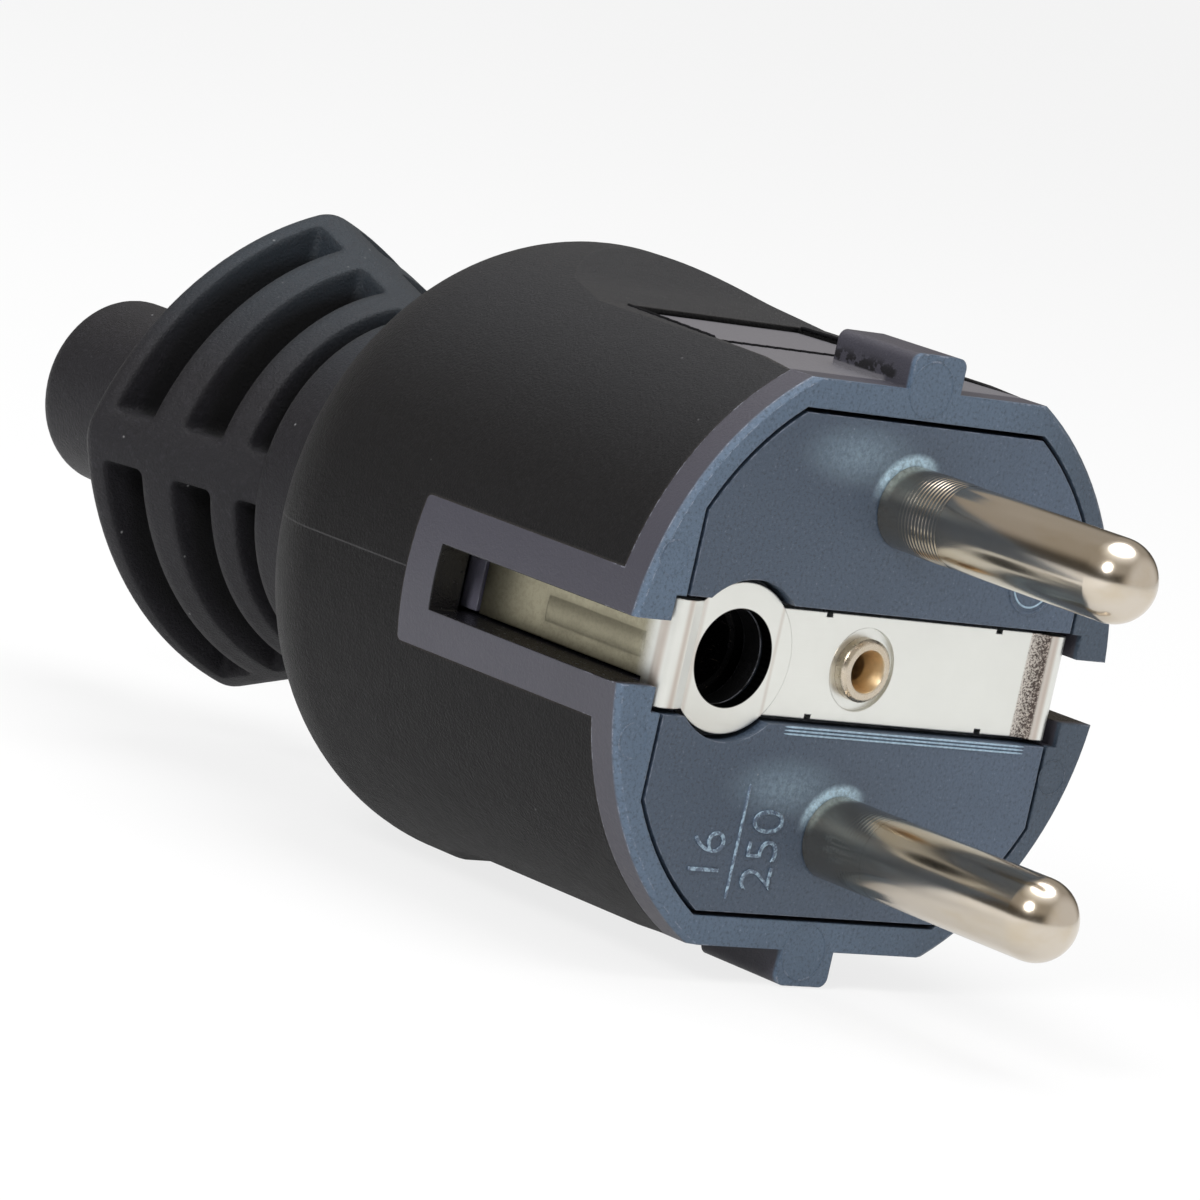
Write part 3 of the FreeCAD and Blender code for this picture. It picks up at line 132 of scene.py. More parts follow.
class Finish:
    """A procedural surface: one Principled shader and the nodes that feed it.

    Patterns are laid out in Object coordinates scaled to millimetres, so a size in a call is a real size.
    """

    def __init__(self, name, **constants):
        self.material = bpy.data.materials.new(name)
        self.material.use_nodes = True
        self.tree = self.material.node_tree
        self.shader = self.tree.nodes["Principled BSDF"]
        self.set(**constants)
        place = self.node("ShaderNodeTexCoord").outputs["Object"]
        scaled = self.node("ShaderNodeVectorMath", {"operation": "SCALE"}, {0: place, "Scale": 1 / MM})
        self.place = scaled.outputs[0]
        split = self.node("ShaderNodeSeparateXYZ", {}, {0: self.place})
        self.x, self.y, self.z = (Quantity(self, split.outputs[axis]) for axis in "XYZ")

    def node(self, kind, settings=None, sockets=None):
        """A node of any type, with its settings made first and then its sockets linked or set."""
        made = self.tree.nodes.new(kind)
        for name, value in (settings or {}).items():
            setattr(made, name, value)
        for name, value in (sockets or {}).items():
            self.feed(made.inputs[name], value)
        return made

    def feed(self, socket, value):
        """Link a socket to another, or set it to a plain value."""
        source = value.socket if isinstance(value, Quantity) else value
        if isinstance(source, bpy.types.NodeSocket):
            self.tree.links.new(source, socket)
        else:
            socket.default_value = source

    def math(self, operation, *values):
        """The result of one Math node."""
        sockets = dict(enumerate(values))
        return Quantity(self, self.node("ShaderNodeMath", {"operation": operation}, sockets).outputs[0])

    def rise(self, value, low, high):
        """0 below low, 1 above high and a smooth step between; high may be the lower of the two."""
        settings = {"interpolation_type": "SMOOTHSTEP", "clamp": True}
        sockets = {"Value": value, "From Min": low, "From Max": high}
        return Quantity(self, self.node("ShaderNodeMapRange", settings, sockets).outputs[0])

    def stretched(self, x, y, z):
        """The place scaled along each axis; a factor under 1 draws a pattern out along its axis."""
        return self.node("ShaderNodeVectorMath", {"operation": "MULTIPLY"}, {0: self.place, 1: (x, y, z)}).outputs[0]

    def reach(self, y=0.0, z=0.0):
        """Distance in millimetres from a line along X."""
        across = self.y - y
        up = self.z - z
        return self.math("SQRT", across * across + up * up)

    def near(self, value, middle, half):
        """1 where the value is at the middle, falling softly to 0 a half width away."""
        return self.rise(abs(value - middle), half, 0.0)

    def noise(self, size, detail=2.0, roughness=0.5, place=None):
        """Cloudy noise from 0 to 1 with features about size millimetres across."""
        sockets = {"Vector": place or self.place, "Scale": 1 / size, "Detail": detail, "Roughness": roughness}
        return Quantity(self, self.node("ShaderNodeTexNoise", {}, sockets).outputs[0])

    def specks(self, spacing, radius, patch, low, high):
        """Soft dots, one to a cell of a random pattern, kept where a noise of patch millimetres is high.

        A dot is 1 in its middle and 0 outside its radius; it fades in as the noise goes from low to high.
        """
        sockets = {"Vector": self.place, "Scale": 1 / spacing}
        cells = self.node("ShaderNodeTexVoronoi", {"feature": "F1"}, sockets)
        dots = self.rise(Quantity(self, cells.outputs["Distance"]), radius / spacing, 0.0)
        return dots * self.rise(self.noise(patch, 1.0), low, high)

    def mix(self, factor, low, high):
        """Colour low where the factor is 0 and high where it is 1."""
        settings = {"data_type": "RGBA"}
        made = self.node("ShaderNodeMix", settings, {0: factor, 6: colour(low), 7: colour(high)})
        return made.outputs[2]

    def tinted(self, factor, base, low, high):
        """A colour that goes from low times itself to high times itself as the factor goes from 0 to 1."""
        return self.mix(factor, shade(base, low), shade(base, high))

    def soft_edges(self, radius, samples=6):
        """The surface's normal, rounded over its edges to that radius."""
        sockets = {"Radius": radius * MM}
        return self.node("ShaderNodeBevel", {"samples": samples}, sockets).outputs[0]

    def edge_mask(self, rounded, low=0.985, high=0.90):
        """1 along edges and 0 on plain surfaces, from how far the rounded normal leans."""
        flat = self.node("ShaderNodeNewGeometry").outputs["Normal"]
        lean = self.node("ShaderNodeVectorMath", {"operation": "DOT_PRODUCT"}, {0: rounded, 1: flat})
        return self.rise(Quantity(self, lean.outputs["Value"]), low, high)

    def bump(self, height, depth, normal=None):
        """A normal raised by height, where a height of 1 stands depth millimetres proud."""
        sockets = {"Height": height, "Distance": depth * MM, "Strength": 1.0}
        if normal is not None:
            sockets["Normal"] = normal
        return self.node("ShaderNodeBump", {}, sockets).outputs[0]

    def set(self, **sockets):
        """Feed the shader's sockets, named with _ for a space, and return the material."""
        for name, value in sockets.items():
            self.feed(self.shader.inputs[name.replace("_", " ")], value)
        return self.material


def colour(value):
    """An RGBA value for a socket, or the socket itself."""
    if isinstance(value, bpy.types.NodeSocket):
        return value
    return (*value[:3], 1.0)


def shade(value, factor):
    """A colour made darker or lighter by a factor."""
    return tuple(channel * factor for channel in value)


def dress(material, *names):
    """Give CAD nodes their material."""
    for name in names:
        slots = NODES[name].data.materials
        slots.clear()
        slots.append(material)


# Meshes


def grid_faces(rows, columns, closed_rows, closed_columns):
    """Quads between neighbouring points of a grid, as one array of point numbers."""
    down = np.arange(rows if closed_rows else rows - 1)[:, None]
    along = np.arange(columns if closed_columns else columns - 1)[None, :]
    below = (down + 1) % rows
    beside = (along + 1) % columns
    quads = np.stack([down * columns + along, below * columns + along, below * columns + beside,
                      down * columns + beside], axis=-1)
    return quads.reshape(-1, 4)


def surface(points, closed_rows=False, closed_columns=False):
    """Points and quads of a surface from an array of shape (rows, columns, 3)."""
    rows, columns = points.shape[:2]
    return points.reshape(-1, 3), grid_faces(rows, columns, closed_rows, closed_columns)


def joined(parts):
    """Several surfaces as one list of points and one of quads."""
    offsets = np.cumsum([0] + [len(points) for points, quads in parts[:-1]])
    points = np.concatenate([points for points, quads in parts])
    quads = np.concatenate([quads + offset for (_, quads), offset in zip(parts, offsets)])
    return points, quads


def piece(name, points, quads, material, slot):
    """A smooth mesh object at the origin that rides with the plug; points are in millimetres."""
    mesh = bpy.data.meshes.new(name)
    mesh.from_pydata((points * MM).tolist(), [], quads.tolist())
    mesh.polygons.foreach_set("use_smooth", np.ones(len(quads), bool))
    mesh.materials.append(material)
    mesh.validate()
    made = bpy.data.objects.new(name, mesh)
    bpy.context.collection.objects.link(made)
    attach(made, "root")


def bead_section(width, height):
    """Offsets and heights across a raised line: a half ellipse whose edges dip a little below the surface."""
    sweep = np.linspace(-0.15 * np.pi, 1.15 * np.pi, 9)[None, :]
    return width / 2 * np.cos(sweep), height * np.sin(sweep)


def bead_ring(centre, radius, width, height, around=64):
    """A raised line round a circle on the face, its section carried round the centre, (y, z)."""
    turn = np.linspace(0, 2 * np.pi, around, endpoint=False)[:, None]
    side, crest = bead_section(width, height)
    reach = radius + side + 0 * turn
    lift = crest + 0 * turn
    points = np.stack([lift, centre[0] + reach * np.cos(turn), centre[1] + reach * np.sin(turn)], axis=-1)
    return surface(points, closed_rows=True)


def bead_bar(start, end, width, height, along=24):
    """A raised line between two points, (y, z), on the face, its section shrunk round at both ends.

    Points along it lie closer at the ends, as a cosine runs, and the section swells as three times a
    sine until it is full.
    """
    start, end = np.array(start, float), np.array(end, float)
    share = np.linspace(0, np.pi, along)[:, None]
    side, crest = bead_section(width, height)
    length = np.linalg.norm(end - start)
    heading = (end - start) / length
    beside = np.array([-heading[1], heading[0]])
    travel = (1 - np.cos(share)) / 2 * length
    swell = np.clip(np.sin(share) * 3, 0.02, 1)
    plan = start + travel[..., None] * heading + (side * swell)[..., None] * beside
    points = np.concatenate([(crest * swell)[..., None], plan], axis=-1)
    return surface(points)


def shadow_line(start, end, level):
    """A thin ragged black line between two points of a level surface, standing in for a shadow line as painted shade.

    It is a bead, laid down with its face upwards, that wanders from the straight as a sum of sines of its
    place. The two points are (x, y).
    """
    points, quads = bead_bar(start, end, SHADOW_LINE_WIDTH, SHADOW_LINE_HEIGHT, along=160)
    travel = points[:, 1] + points[:, 2]
    wander = sum(size * np.sin(travel * rate) for size, rate in SHADOW_LINE_WAVES)
    placed = np.stack([points[:, 1] + wander, points[:, 2] + wander, level + points[:, 0]], axis=-1)
    return placed, quads


def turned_band(axis_z, profile, around=96):
    """A surface of revolution about the line along X at that height, from an array of (x, radius) rows."""
    turn = np.linspace(0, 2 * np.pi, around, endpoint=False)[None, :]
    x = profile[:, :1] + 0 * turn
    radius = profile[:, 1:] + 0 * turn
    points = np.stack([x, radius * np.cos(turn), axis_z + radius * np.sin(turn)], axis=-1)
    return surface(points, closed_columns=True)


def numeral_mesh(text, length, height, lift, corner):
    """Raised numerals on the face that read upwards with their tops towards -Y.

    The outline of the plain font is thinned a little, given a fine bevel, stretched to length by height,
    set with its top left corner at the given (y, z) and lifted out of the face.
    """
    curve = bpy.data.curves.new(text, "FONT")
    curve.body = text
    curve.extrude = 0.5
    curve.bevel_depth = STROKE_BEVEL
    curve.bevel_resolution = 1
    curve.offset = STROKE_THINNING
    holder = bpy.data.objects.new(text, curve)
    bpy.context.collection.objects.link(holder)
    mesh = bpy.data.meshes.new_from_object(holder.evaluated_get(bpy.context.evaluated_depsgraph_get()))
    bpy.data.objects.remove(holder)
    flat = np.empty(len(mesh.vertices) * 3)
    mesh.vertices.foreach_get("co", flat)
    flat = flat.reshape(-1, 3)
    low = flat.min(axis=0)
    share = (flat - low) / (flat.max(axis=0) - low)
    placed = np.stack([(share[:, 2] * 2 - 1) * lift, corner[0] + (1 - share[:, 1]) * height,
                       corner[1] + share[:, 0] * length], axis=-1)
    mesh.vertices.foreach_set("co", (placed * MM).ravel())
    mesh.update()
    return mesh


# Finishes


def grip_rubber(palette):
    """Matte elastomer: fine moulded grain, faint clouding, a mould seam and a few dust specks, with painted
    highlights along its edges, a top painted lighter and cooler, and painted shadow on the low wall behind each flat.
    """
    rubber = Finish("grip_rubber", Specular_IOR_Level=0.18, Sheen_Weight=0.06, Sheen_Roughness=0.25)
    grain = rubber.noise(0.16, 3.0, 0.65)
    base = rubber.tinted(rubber.noise(6.0, 4.0, 0.6), palette.grip, 0.8, 1.2)
    base = rubber.mix(rubber.rise(grain, 0.5, 0.75) * 0.5, base, shade(palette.grip, 2.6))
    base = rubber.mix(rubber.rise(rubber.noise(0.35, 3.0, 0.7), 0.45, 0.75) * 0.35, base, shade(palette.grip, 2.2))
    # Painted light: the top lighter and cooler, as lit from above.
    top = rubber.rise(rubber.z, 7.0, 17.5)
    base = rubber.mix(top * 0.8, base, palette.grip_top_light)
    seam = rubber.near(rubber.z, 0.0, 0.07) * rubber.rise(rubber.x, -19.0, -19.4)
    base = rubber.mix(seam * 0.10, base, palette.dust)
    base = rubber.mix(rubber.specks(1.9, 0.11, 3.1, 0.5, 0.6) * 0.5, base, palette.dust)
    rounded = rubber.soft_edges(0.25)
    # Painted highlight along the edges, stronger round the back shoulder as a rim light.
    rear_rim_light = rubber.rise(rubber.x, -36.6, -37.2)
    edges = rubber.edge_mask(rounded) * (rear_rim_light * 0.4 + 0.35)
    base = rubber.mix(edges, base, palette.grip_edge_highlight)
    # Painted shadow on the low wall at the back end of each flat.
    level = abs(rubber.z)
    lip = rubber.rise(level, 15.8, 15.86) * rubber.rise(level, 16.28, 16.2)
    lip = lip * rubber.rise(rubber.reach(), 18.45, 18.3) * rubber.rise(rubber.x, -19.15, -19.05)
    base = rubber.mix(lip, base, palette.slot)
    lumps = grain * 0.7 + rubber.noise(0.5, 2.0) * 0.3
    return rubber.set(Base_Color=base, Roughness=rubber.noise(1.2, 3.0) * 0.12 + 0.5,
                      Normal=rubber.bump(lumps, 0.12, rounded))


def shadow_line_rubber(palette):
    """Dull black rubber for the beads that stand in for shadow lines, as painted shade."""
    rubber = Finish("shadow_line_rubber", Specular_IOR_Level=0.08)
    base = rubber.tinted(rubber.noise(0.4, 3.0), palette.slot, 1.0, 3.0)
    return rubber.set(Base_Color=base, Roughness=rubber.noise(0.3) * 0.1 + 0.75,
                      Normal=rubber.bump(rubber.noise(0.12, 3.0), 0.03))


def relief_rubber(palette):
    """Softer rubber of the bend relief: mottled, painted lighter and cooler on top, painted dark as shade inside its
    slots, with dust.

    A place gets the painted shade of a slot by how far it lies under the webs, whose radius changes evenly with x.
    """
    rubber = Finish("relief_rubber", Specular_IOR_Level=0.25, Sheen_Weight=0.03, Sheen_Roughness=0.3)
    base = rubber.tinted(rubber.noise(3.5, 4.0, 0.6), palette.relief, 0.82, 1.25)
    # Painted light: lighter and cooler towards the top.
    base = rubber.mix(rubber.rise(rubber.z, 4.0, 14.0) * 0.85, base, palette.relief_top_light)
    mottled = rubber.rise(rubber.noise(0.35, 4.0, 0.75), 0.5, 0.7)
    base = rubber.mix(mottled * 0.5, base, shade(palette.relief, 2.4))
    base = rubber.mix(rubber.specks(1.5, 0.12, 2.3, 0.46, 0.56) * 0.7, base, palette.dust)
    # Painted shade inside the slots between the webs.
    above_web = rubber.reach() - ((rubber.x - CAGE_FRONT_X) * WEB_TAPER + WEB_RADIUS)
    cage = rubber.rise(rubber.x, CAGE_REAR_X - 0.1, CAGE_REAR_X + 0.1)
    cage = cage * rubber.rise(rubber.x, CAGE_FRONT_X + 0.05, CAGE_FRONT_X - 0.1)
    slot = rubber.rise(above_web, -0.25, -1.5) * cage
    base = rubber.mix(slot * 0.96, base, palette.slot)
    rounded = rubber.soft_edges(0.75, 8)
    grain = rubber.noise(0.18, 3.0, 0.65)
    return rubber.set(Base_Color=base, Roughness=rubber.noise(1.5, 3.0) * 0.15 + 0.46 + slot * 0.3,
                      Normal=rubber.bump(grain, 0.09, rounded))


def spark_grain(plastic):
    """Height of a fine spark-eroded mould texture."""
    return plastic.noise(0.22, 3.0, 0.6) * 0.6 + plastic.noise(0.09, 2.0, 0.6) * 0.4


def spark_tone(plastic, palette, base):
    """Colour of that texture: darker pits between fine grains, with painted glints where the grains would catch the
    light.
    """
    grain = plastic.noise(0.2, 4.0, 0.75)
    base = plastic.mix(plastic.rise(grain, 0.5, 0.36) * 0.5, base, palette.spark)
    # Painted glints on the grains that would catch the light.
    return plastic.mix(plastic.rise(grain, 0.59, 0.74) * 0.36, base, palette.painted_glint)


def housing_plastic(palette):
    """Hard thermoplastic: warm grey on its sides, painted lighter, cool and sparkling on the front and darker towards
    +Y there, with painted glints at its front edges, painted shade inside its slots and dark patches low on the top
    rib.

    The top flat is painted paler, as lit from above, and edged with painted shadow where its half width, which
    changes evenly with x, ends.
    """
    plastic = Finish("housing_plastic", Specular_IOR_Level=0.5)
    # Painted light: the front face lighter and bluer than the sides.
    front = plastic.rise(plastic.x, -0.45, -0.2)
    side = plastic.tinted(plastic.noise(4.0, 4.0), palette.housing, 0.9, 1.1)
    face = plastic.tinted(plastic.noise(2.5, 4.0), palette.face, 0.9, 1.1)
    # Painted shade: the front darker towards +Y.
    face = plastic.mix(plastic.rise(plastic.y, 4.0, 15.0), face, shade(palette.face, 0.55))
    base = plastic.mix(front, side, spark_tone(plastic, palette, face))
    # Painted light: the top flat paler, as lit from above.
    lit_top_flat = plastic.rise(plastic.z, 14.5, 15.5) * plastic.rise(plastic.x, -2.0, -2.4)
    lit_top_flat = lit_top_flat * plastic.rise(plastic.z, 16.45, 16.3)
    base = plastic.mix(lit_top_flat, base, palette.flat)
    # Painted shadow along the top flat's side edges and back end.
    rim = abs(plastic.y) - (plastic.x * FLAT_TAPER + FLAT_HALF_WIDTH)
    border_shadow = plastic.rise(rim, -0.3, -0.1) * plastic.rise(plastic.x, -8.8, -9.4)
    border_shadow = plastic.math("MAXIMUM", border_shadow, plastic.rise(plastic.x, -18.7, -18.95))
    base = plastic.mix(border_shadow * lit_top_flat, base, palette.slot)
    # Dark patches low on the top rib, behind its front.
    rib_foot_dark = plastic.rise(plastic.z, 17.5, 16.7) * plastic.rise(plastic.z, 16.3, 16.45)
    rib_foot_dark = rib_foot_dark * plastic.rise(plastic.noise(0.7, 3.0, 0.7), 0.44, 0.5) * plastic.rise(plastic.x, -1.2, -1.6)
    base = plastic.mix(rib_foot_dark * 0.85, base, palette.slot)
    rounded = plastic.soft_edges(0.16)
    # Painted glints along the front edges, weak in the gap by the insert and further back.
    outer = plastic.rise(plastic.reach(), 16.8, 17.8) * plastic.rise(plastic.x, -3.5, -2.5) * 0.7 + 0.04
    glints = plastic.edge_mask(rounded) * outer * plastic.rise(plastic.noise(0.5, 4.0, 0.7), 0.46, 0.62)
    base = plastic.mix(glints, base, palette.painted_glint)
    base = plastic.mix(plastic.specks(1.9, 0.1, 1.7, 0.5, 0.62) * 0.4, base, palette.dust)
    # Painted shade on the walls of the side slots and on inner surfaces under the outer skin.
    inside = plastic.rise(abs(plastic.z), 1.95, 1.88) * plastic.rise(plastic.x, -0.4, -1.0)
    inside = inside * plastic.rise(plastic.x, -16.78, -16.71)
    deeper = plastic.rise(plastic.reach(), 17.0, 16.0) * plastic.rise(plastic.x, -16.5, -16.71)
    deeper = deeper * plastic.rise(abs(plastic.z), 15.0, 13.0)
    inside = plastic.math("MAXIMUM", inside, deeper)
    base = plastic.mix(inside * 0.88, base, palette.slot)
    roughness = (plastic.noise(0.3, 2.0) * 0.2 + 0.36) - inside * 0.22
    return plastic.set(Base_Color=base, Roughness=roughness,
                       Normal=plastic.bump(spark_grain(plastic), 0.05, rounded))


def carrier_plastic(palette):
    """Front insert: cool grey, spark-eroded all over its face, painted darker towards -Y, with a broken painted
    highlight round each pin's foot, painted glints at its edges and painted shade in the earth hole and behind its
    face.

    The painted highlight is a soft ellipse above and left of the pin and a narrow ring that hugs it.
    """
    plastic = Finish("carrier_plastic", Specular_IOR_Level=0.5)
    base = plastic.tinted(plastic.noise(3.0, 4.0), palette.carrier, 0.88, 1.12)
    # Painted shade: darker towards -Y, where the pins shade the plate.
    base = plastic.mix(plastic.rise(plastic.y, -13.0, 13.0), shade(palette.carrier, 0.72), base)
    base = spark_tone(plastic, palette, base)
    # Painted highlight round each pin's foot: a soft ellipse and a narrow ring, broken by noise.
    sheen = 0.0
    for pin_z in (PIN_Z, -PIN_Z):
        along = (plastic.y + 4.4) / 5.6
        across = (plastic.z - (pin_z + 2.6)) / 2.3
        glow = plastic.rise(plastic.math("SQRT", along * along + across * across), 1.0, 0.0) * 0.42
        close = plastic.rise(abs(plastic.reach(0.0, pin_z) - 2.6), 0.6, 0.1)
        close = close * plastic.rise(plastic.z, pin_z, pin_z + 1.8) * plastic.rise(plastic.y, 2.0, 0.5)
        sheen = glow + close * 1.5 + sheen
    sheen = sheen * plastic.rise(plastic.x, -0.3, -0.1)
    broken = plastic.rise(plastic.noise(0.35, 4.0, 0.8), 0.32, 0.68) * 0.6 + 0.4
    base = plastic.mix(sheen * broken * 0.7, base, palette.sheen)
    latch = plastic.rise(plastic.x, -14.9, -15.2)
    base = plastic.mix(latch, base, shade(palette.housing, 2.2))
    # Painted shade in the earth hole and on surfaces behind the face.
    hole = plastic.rise(plastic.reach(EARTH_Y), 2.95, 2.85)
    inside = plastic.rise(plastic.x, -0.1, -1.2) * plastic.rise(plastic.x, -15.1, -14.8)
    base = plastic.mix(plastic.math("MAXIMUM", inside * 0.7, hole), base, palette.slot)
    rounded = plastic.soft_edges(0.12)
    # Painted glints along the insert's edges.
    glints = plastic.edge_mask(rounded) * plastic.rise(plastic.noise(0.7, 3.0), 0.4, 0.6)
    base = plastic.mix(glints * 0.35, base, palette.painted_glint)
    base = plastic.mix(plastic.specks(1.6, 0.09, 1.5, 0.5, 0.62) * 0.45, base, palette.dust)
    return plastic.set(Base_Color=base, Roughness=plastic.noise(0.25, 2.0) * 0.2 + 0.33,
                       Normal=plastic.bump(spark_grain(plastic), 0.06, rounded))


def raised_plastic(palette):
    """Tops of raised lines and numerals on the insert, painted paler than it, with patchy painted highlights."""
    plastic = Finish("raised_plastic", Specular_IOR_Level=0.6)
    # Patchy painted highlights on the raised tops.
    glints = plastic.rise(plastic.noise(0.3, 3.0, 0.75), 0.44, 0.6)
    base = plastic.mix(glints * 0.5, shade(palette.carrier, 1.1), palette.sheen)
    return plastic.set(Base_Color=base, Roughness=plastic.noise(0.2, 2.0) * 0.2 + 0.2,
                       Normal=plastic.bump(plastic.noise(0.1, 2.0), 0.02))


def ridge_plastic(palette):
    """Fine ridges beside the earth strip, painted pale all along as highlights."""
    plastic = Finish("ridge_plastic", Specular_IOR_Level=0.6)
    # Painted highlight: pale all along.
    base = plastic.mix(plastic.noise(0.6, 3.0) * 0.5 + 0.3, shade(palette.carrier, 1.4), palette.sheen)
    return plastic.set(Base_Color=base, Roughness=plastic.noise(0.3, 2.0) * 0.15 + 0.2,
                       Normal=plastic.bump(plastic.noise(0.1, 2.0), 0.01))


def inner_plastic(palette):
    """Plain dark plastic of the hidden cover and cord clamp."""
    plastic = Finish("cover_plastic", Specular_IOR_Level=0.45)
    base = plastic.tinted(plastic.noise(3.0, 3.0), palette.cover, 0.85, 1.15)
    return plastic.set(Base_Color=base, Roughness=plastic.noise(0.4, 2.0) * 0.2 + 0.4,
                       Normal=plastic.bump(plastic.noise(0.2), 0.02, plastic.soft_edges(0.1)))


def pin_nickel(palette):
    """Bright nickel over turned brass: tool rings, fine lengthwise rub marks, and a painted dark, warm reflection of
    the face near it.
    """
    metal = Finish("pin_nickel", Metallic=1.0)
    rub = metal.noise(0.25, 3.0, 0.6, metal.stretched(0.06, 1.0, 1.0))
    warm = metal.rise(metal.noise(2.5, 3.0, 0.6, metal.stretched(0.35, 1.0, 1.0)), 0.4, 0.75)
    base = metal.mix(warm * 0.6, palette.nickel, palette.nickel_warm)
    base = metal.mix(metal.specks(1.1, 0.07, 1.3, 0.55, 0.62), base, palette.pit)
    # Painted reflection: darker and warmer near the face.
    base = metal.mix(metal.rise(metal.x, 9.0, 1.5) * 0.45, base, palette.foot)
    rings = metal.noise(0.12, 1.0, 0.5, metal.stretched(1.0, 0.02, 0.02))
    height = rub * 0.25 + rings * metal.rise(metal.x, 7.0, 3.0) * 0.35
    roughness = metal.noise(0.8, 3.0, 0.6, metal.stretched(0.2, 1.0, 1.0)) * 0.12 + 0.12
    return metal.set(Base_Color=base, Roughness=roughness, Normal=metal.bump(height, 0.004))


def strip_nickel(palette):
    """Satin nickel strip: pale on the face, olive and darker down the legs as painted shade, with a darker band down
    each leg, painted brown shade along its folds and bend lines, brown and pitted on one rise, and painted shade
    round its earth hole.
    """
    metal = Finish("strip_nickel", Metallic=1.0)
    # Painted shade: the legs darker and olive, deep in the side slots.
    leg = metal.rise(metal.x, -1.3, -2.6)
    face = metal.tinted(metal.noise(3.0, 3.0), palette.strip, 1.0, 0.93)
    olive = metal.tinted(metal.noise(1.2, 4.0, 0.6), palette.leg, 1.0, 0.8)
    base = metal.mix(leg, face, olive)
    # Painted brown shade along the folds at the strip's ends.
    folds = metal.near(abs(metal.y), 14.15, 0.35) + metal.near(abs(metal.y), 15.25, 0.18)
    turn = metal.rise(metal.x, -1.4, -1.1)
    base = metal.mix(folds * turn * 0.6, base, palette.fold)
    slope = metal.near(metal.y, 13.4, 0.75) * turn
    # The slope and the rise by the fold at +Y are tinted the same brown.
    base = metal.mix(metal.near(metal.y, 13.85, 0.6) * turn * 0.45, base, palette.fold)
    across = metal.y - 13.2
    band = metal.rise(abs(across), 0.66, 0.5) * turn
    base = metal.mix(band * 0.5, base, palette.fold)
    pits = metal.rise(metal.noise(0.13, 3.0, 0.8) + across * 0.1, 0.45, 0.55) * band
    base = metal.mix(pits * 0.95, base, palette.pit)
    # A darker band down the middle of each leg.
    leg_band_dark = metal.rise(abs(metal.z + metal.noise(1.5, 3.0) - 0.5), 1.15, 0.75) * metal.rise(metal.x, -11.2, -10.2)
    leg_band_dark = leg_band_dark * metal.rise(metal.x, -2.2, -3.4)
    base = metal.mix(leg_band_dark * 0.4, base, shade(palette.leg, 0.45))
    grain = metal.rise(metal.noise(0.2, 3.0, 0.75), 0.45, 0.62) * leg
    base = metal.mix(grain * 0.3, base, shade(palette.leg, 0.5))
    # Painted shade on the wall of the strip's earth hole.
    base = metal.mix(metal.near(metal.reach(EARTH_Y), 2.8, 0.06), base, palette.slot)
    # Painted shade along the bend lines.
    creases = metal.near(metal.y, -7.0, 0.22) + metal.near(metal.y, -12.9, 0.3)
    base = metal.mix(creases * turn * 0.35, base, palette.fold)
    rolled = metal.noise(0.3, 3.0, 0.6, metal.stretched(1.0, 0.08, 1.0))
    height = rolled * 0.25 + metal.noise(0.16, 3.0, 0.75) * (slope * 3.5 + 0.1)
    return metal.set(Base_Color=base, Roughness=metal.noise(0.9, 3.0) * 0.12 + 0.3 + slope * 0.1,
                     Normal=metal.bump(height, 0.02, metal.soft_edges(0.1)))


def rivet_nickel(palette):
    """Nickel lip of the hollow rivet, rubbed through to golden brass inside its cone."""
    metal = Finish("rivet_nickel", Metallic=1.0)
    bore = metal.rise(metal.reach(), 1.32, 1.12)
    lip = metal.mix(metal.noise(0.6, 3.0), palette.nickel, palette.nickel_warm)
    gold = metal.tinted(metal.noise(0.4, 3.0), palette.gold, 1.0, 0.6)
    roughness = metal.noise(0.3, 2.0) * 0.15 + 0.2 + bore * 0.2
    return metal.set(Base_Color=metal.mix(bore, lip, gold), Roughness=roughness,
                     Normal=metal.bump(metal.noise(0.2, 2.0), 0.006, metal.soft_edges(0.15)))


def shaded_brass(palette):
    """Glossy brass of the earth sleeve, painted near-black as shade deep in the earth hole, with a few bright
    scratches.
    """
    metal = Finish("socket_brass", Specular_IOR_Level=0.6)
    scratch = metal.rise(metal.noise(0.2, 3.0, 0.6, metal.stretched(0.1, 1.0, 1.0)), 0.62, 0.72)
    # Near-black base: painted shade deep in the earth hole.
    base = metal.mix(scratch * 0.15, palette.slot, palette.nickel_warm)
    return metal.set(Base_Color=base, Roughness=metal.noise(0.5, 3.0) * 0.12 + 0.2,
                     Normal=metal.bump(metal.noise(0.3, 2.0), 0.006))


def machined_metal(name, base_colour, roughness_base, hole_shade=None):
    """Machined metal of the hidden terminals, screws and springs: tool marks and slight tarnish.

    A hole shade colour paints shade over what lies round the earth hole.
    """
    metal = Finish(name, Metallic=1.0)
    base = metal.tinted(metal.noise(1.4, 4.0, 0.6), base_colour, 1.0, 0.72)
    if hole_shade is not None:
        base = metal.mix(metal.rise(metal.reach(EARTH_Y), 3.6, 3.0), base, hole_shade)
    marks = metal.noise(0.1, 2.0, 0.5, metal.stretched(1.0, 0.15, 0.15))
    return metal.set(Base_Color=base, Roughness=metal.noise(0.5, 3.0) * 0.2 + roughness_base,
                     Normal=metal.bump(marks, 0.008, metal.soft_edges(0.08)))


# Settings


def hue(name, description, default):
    """A colour setting."""
    return FloatVectorProperty(name=name, description=description, default=default, size=3, subtype="COLOR",
                               min=0.0, max=1.0)


def span(name, description, default):
    """A length setting in metres."""
    return FloatProperty(name=name, description=description, default=default, unit="LENGTH")


def point(name, description, default):
    """A setting for a point or an offset, in metres."""
    return FloatVectorProperty(name=name, description=description, default=default, size=3, unit="LENGTH")


def angle(name, description, degrees):
    """An angle setting."""
    return FloatProperty(name=name, description=description, default=math.radians(degrees), unit="ROTATION")


def amount(name, description, default):
    """A setting for a lamp or a light, never below 0."""
    return FloatProperty(name=name, description=description, default=default, min=0.0)


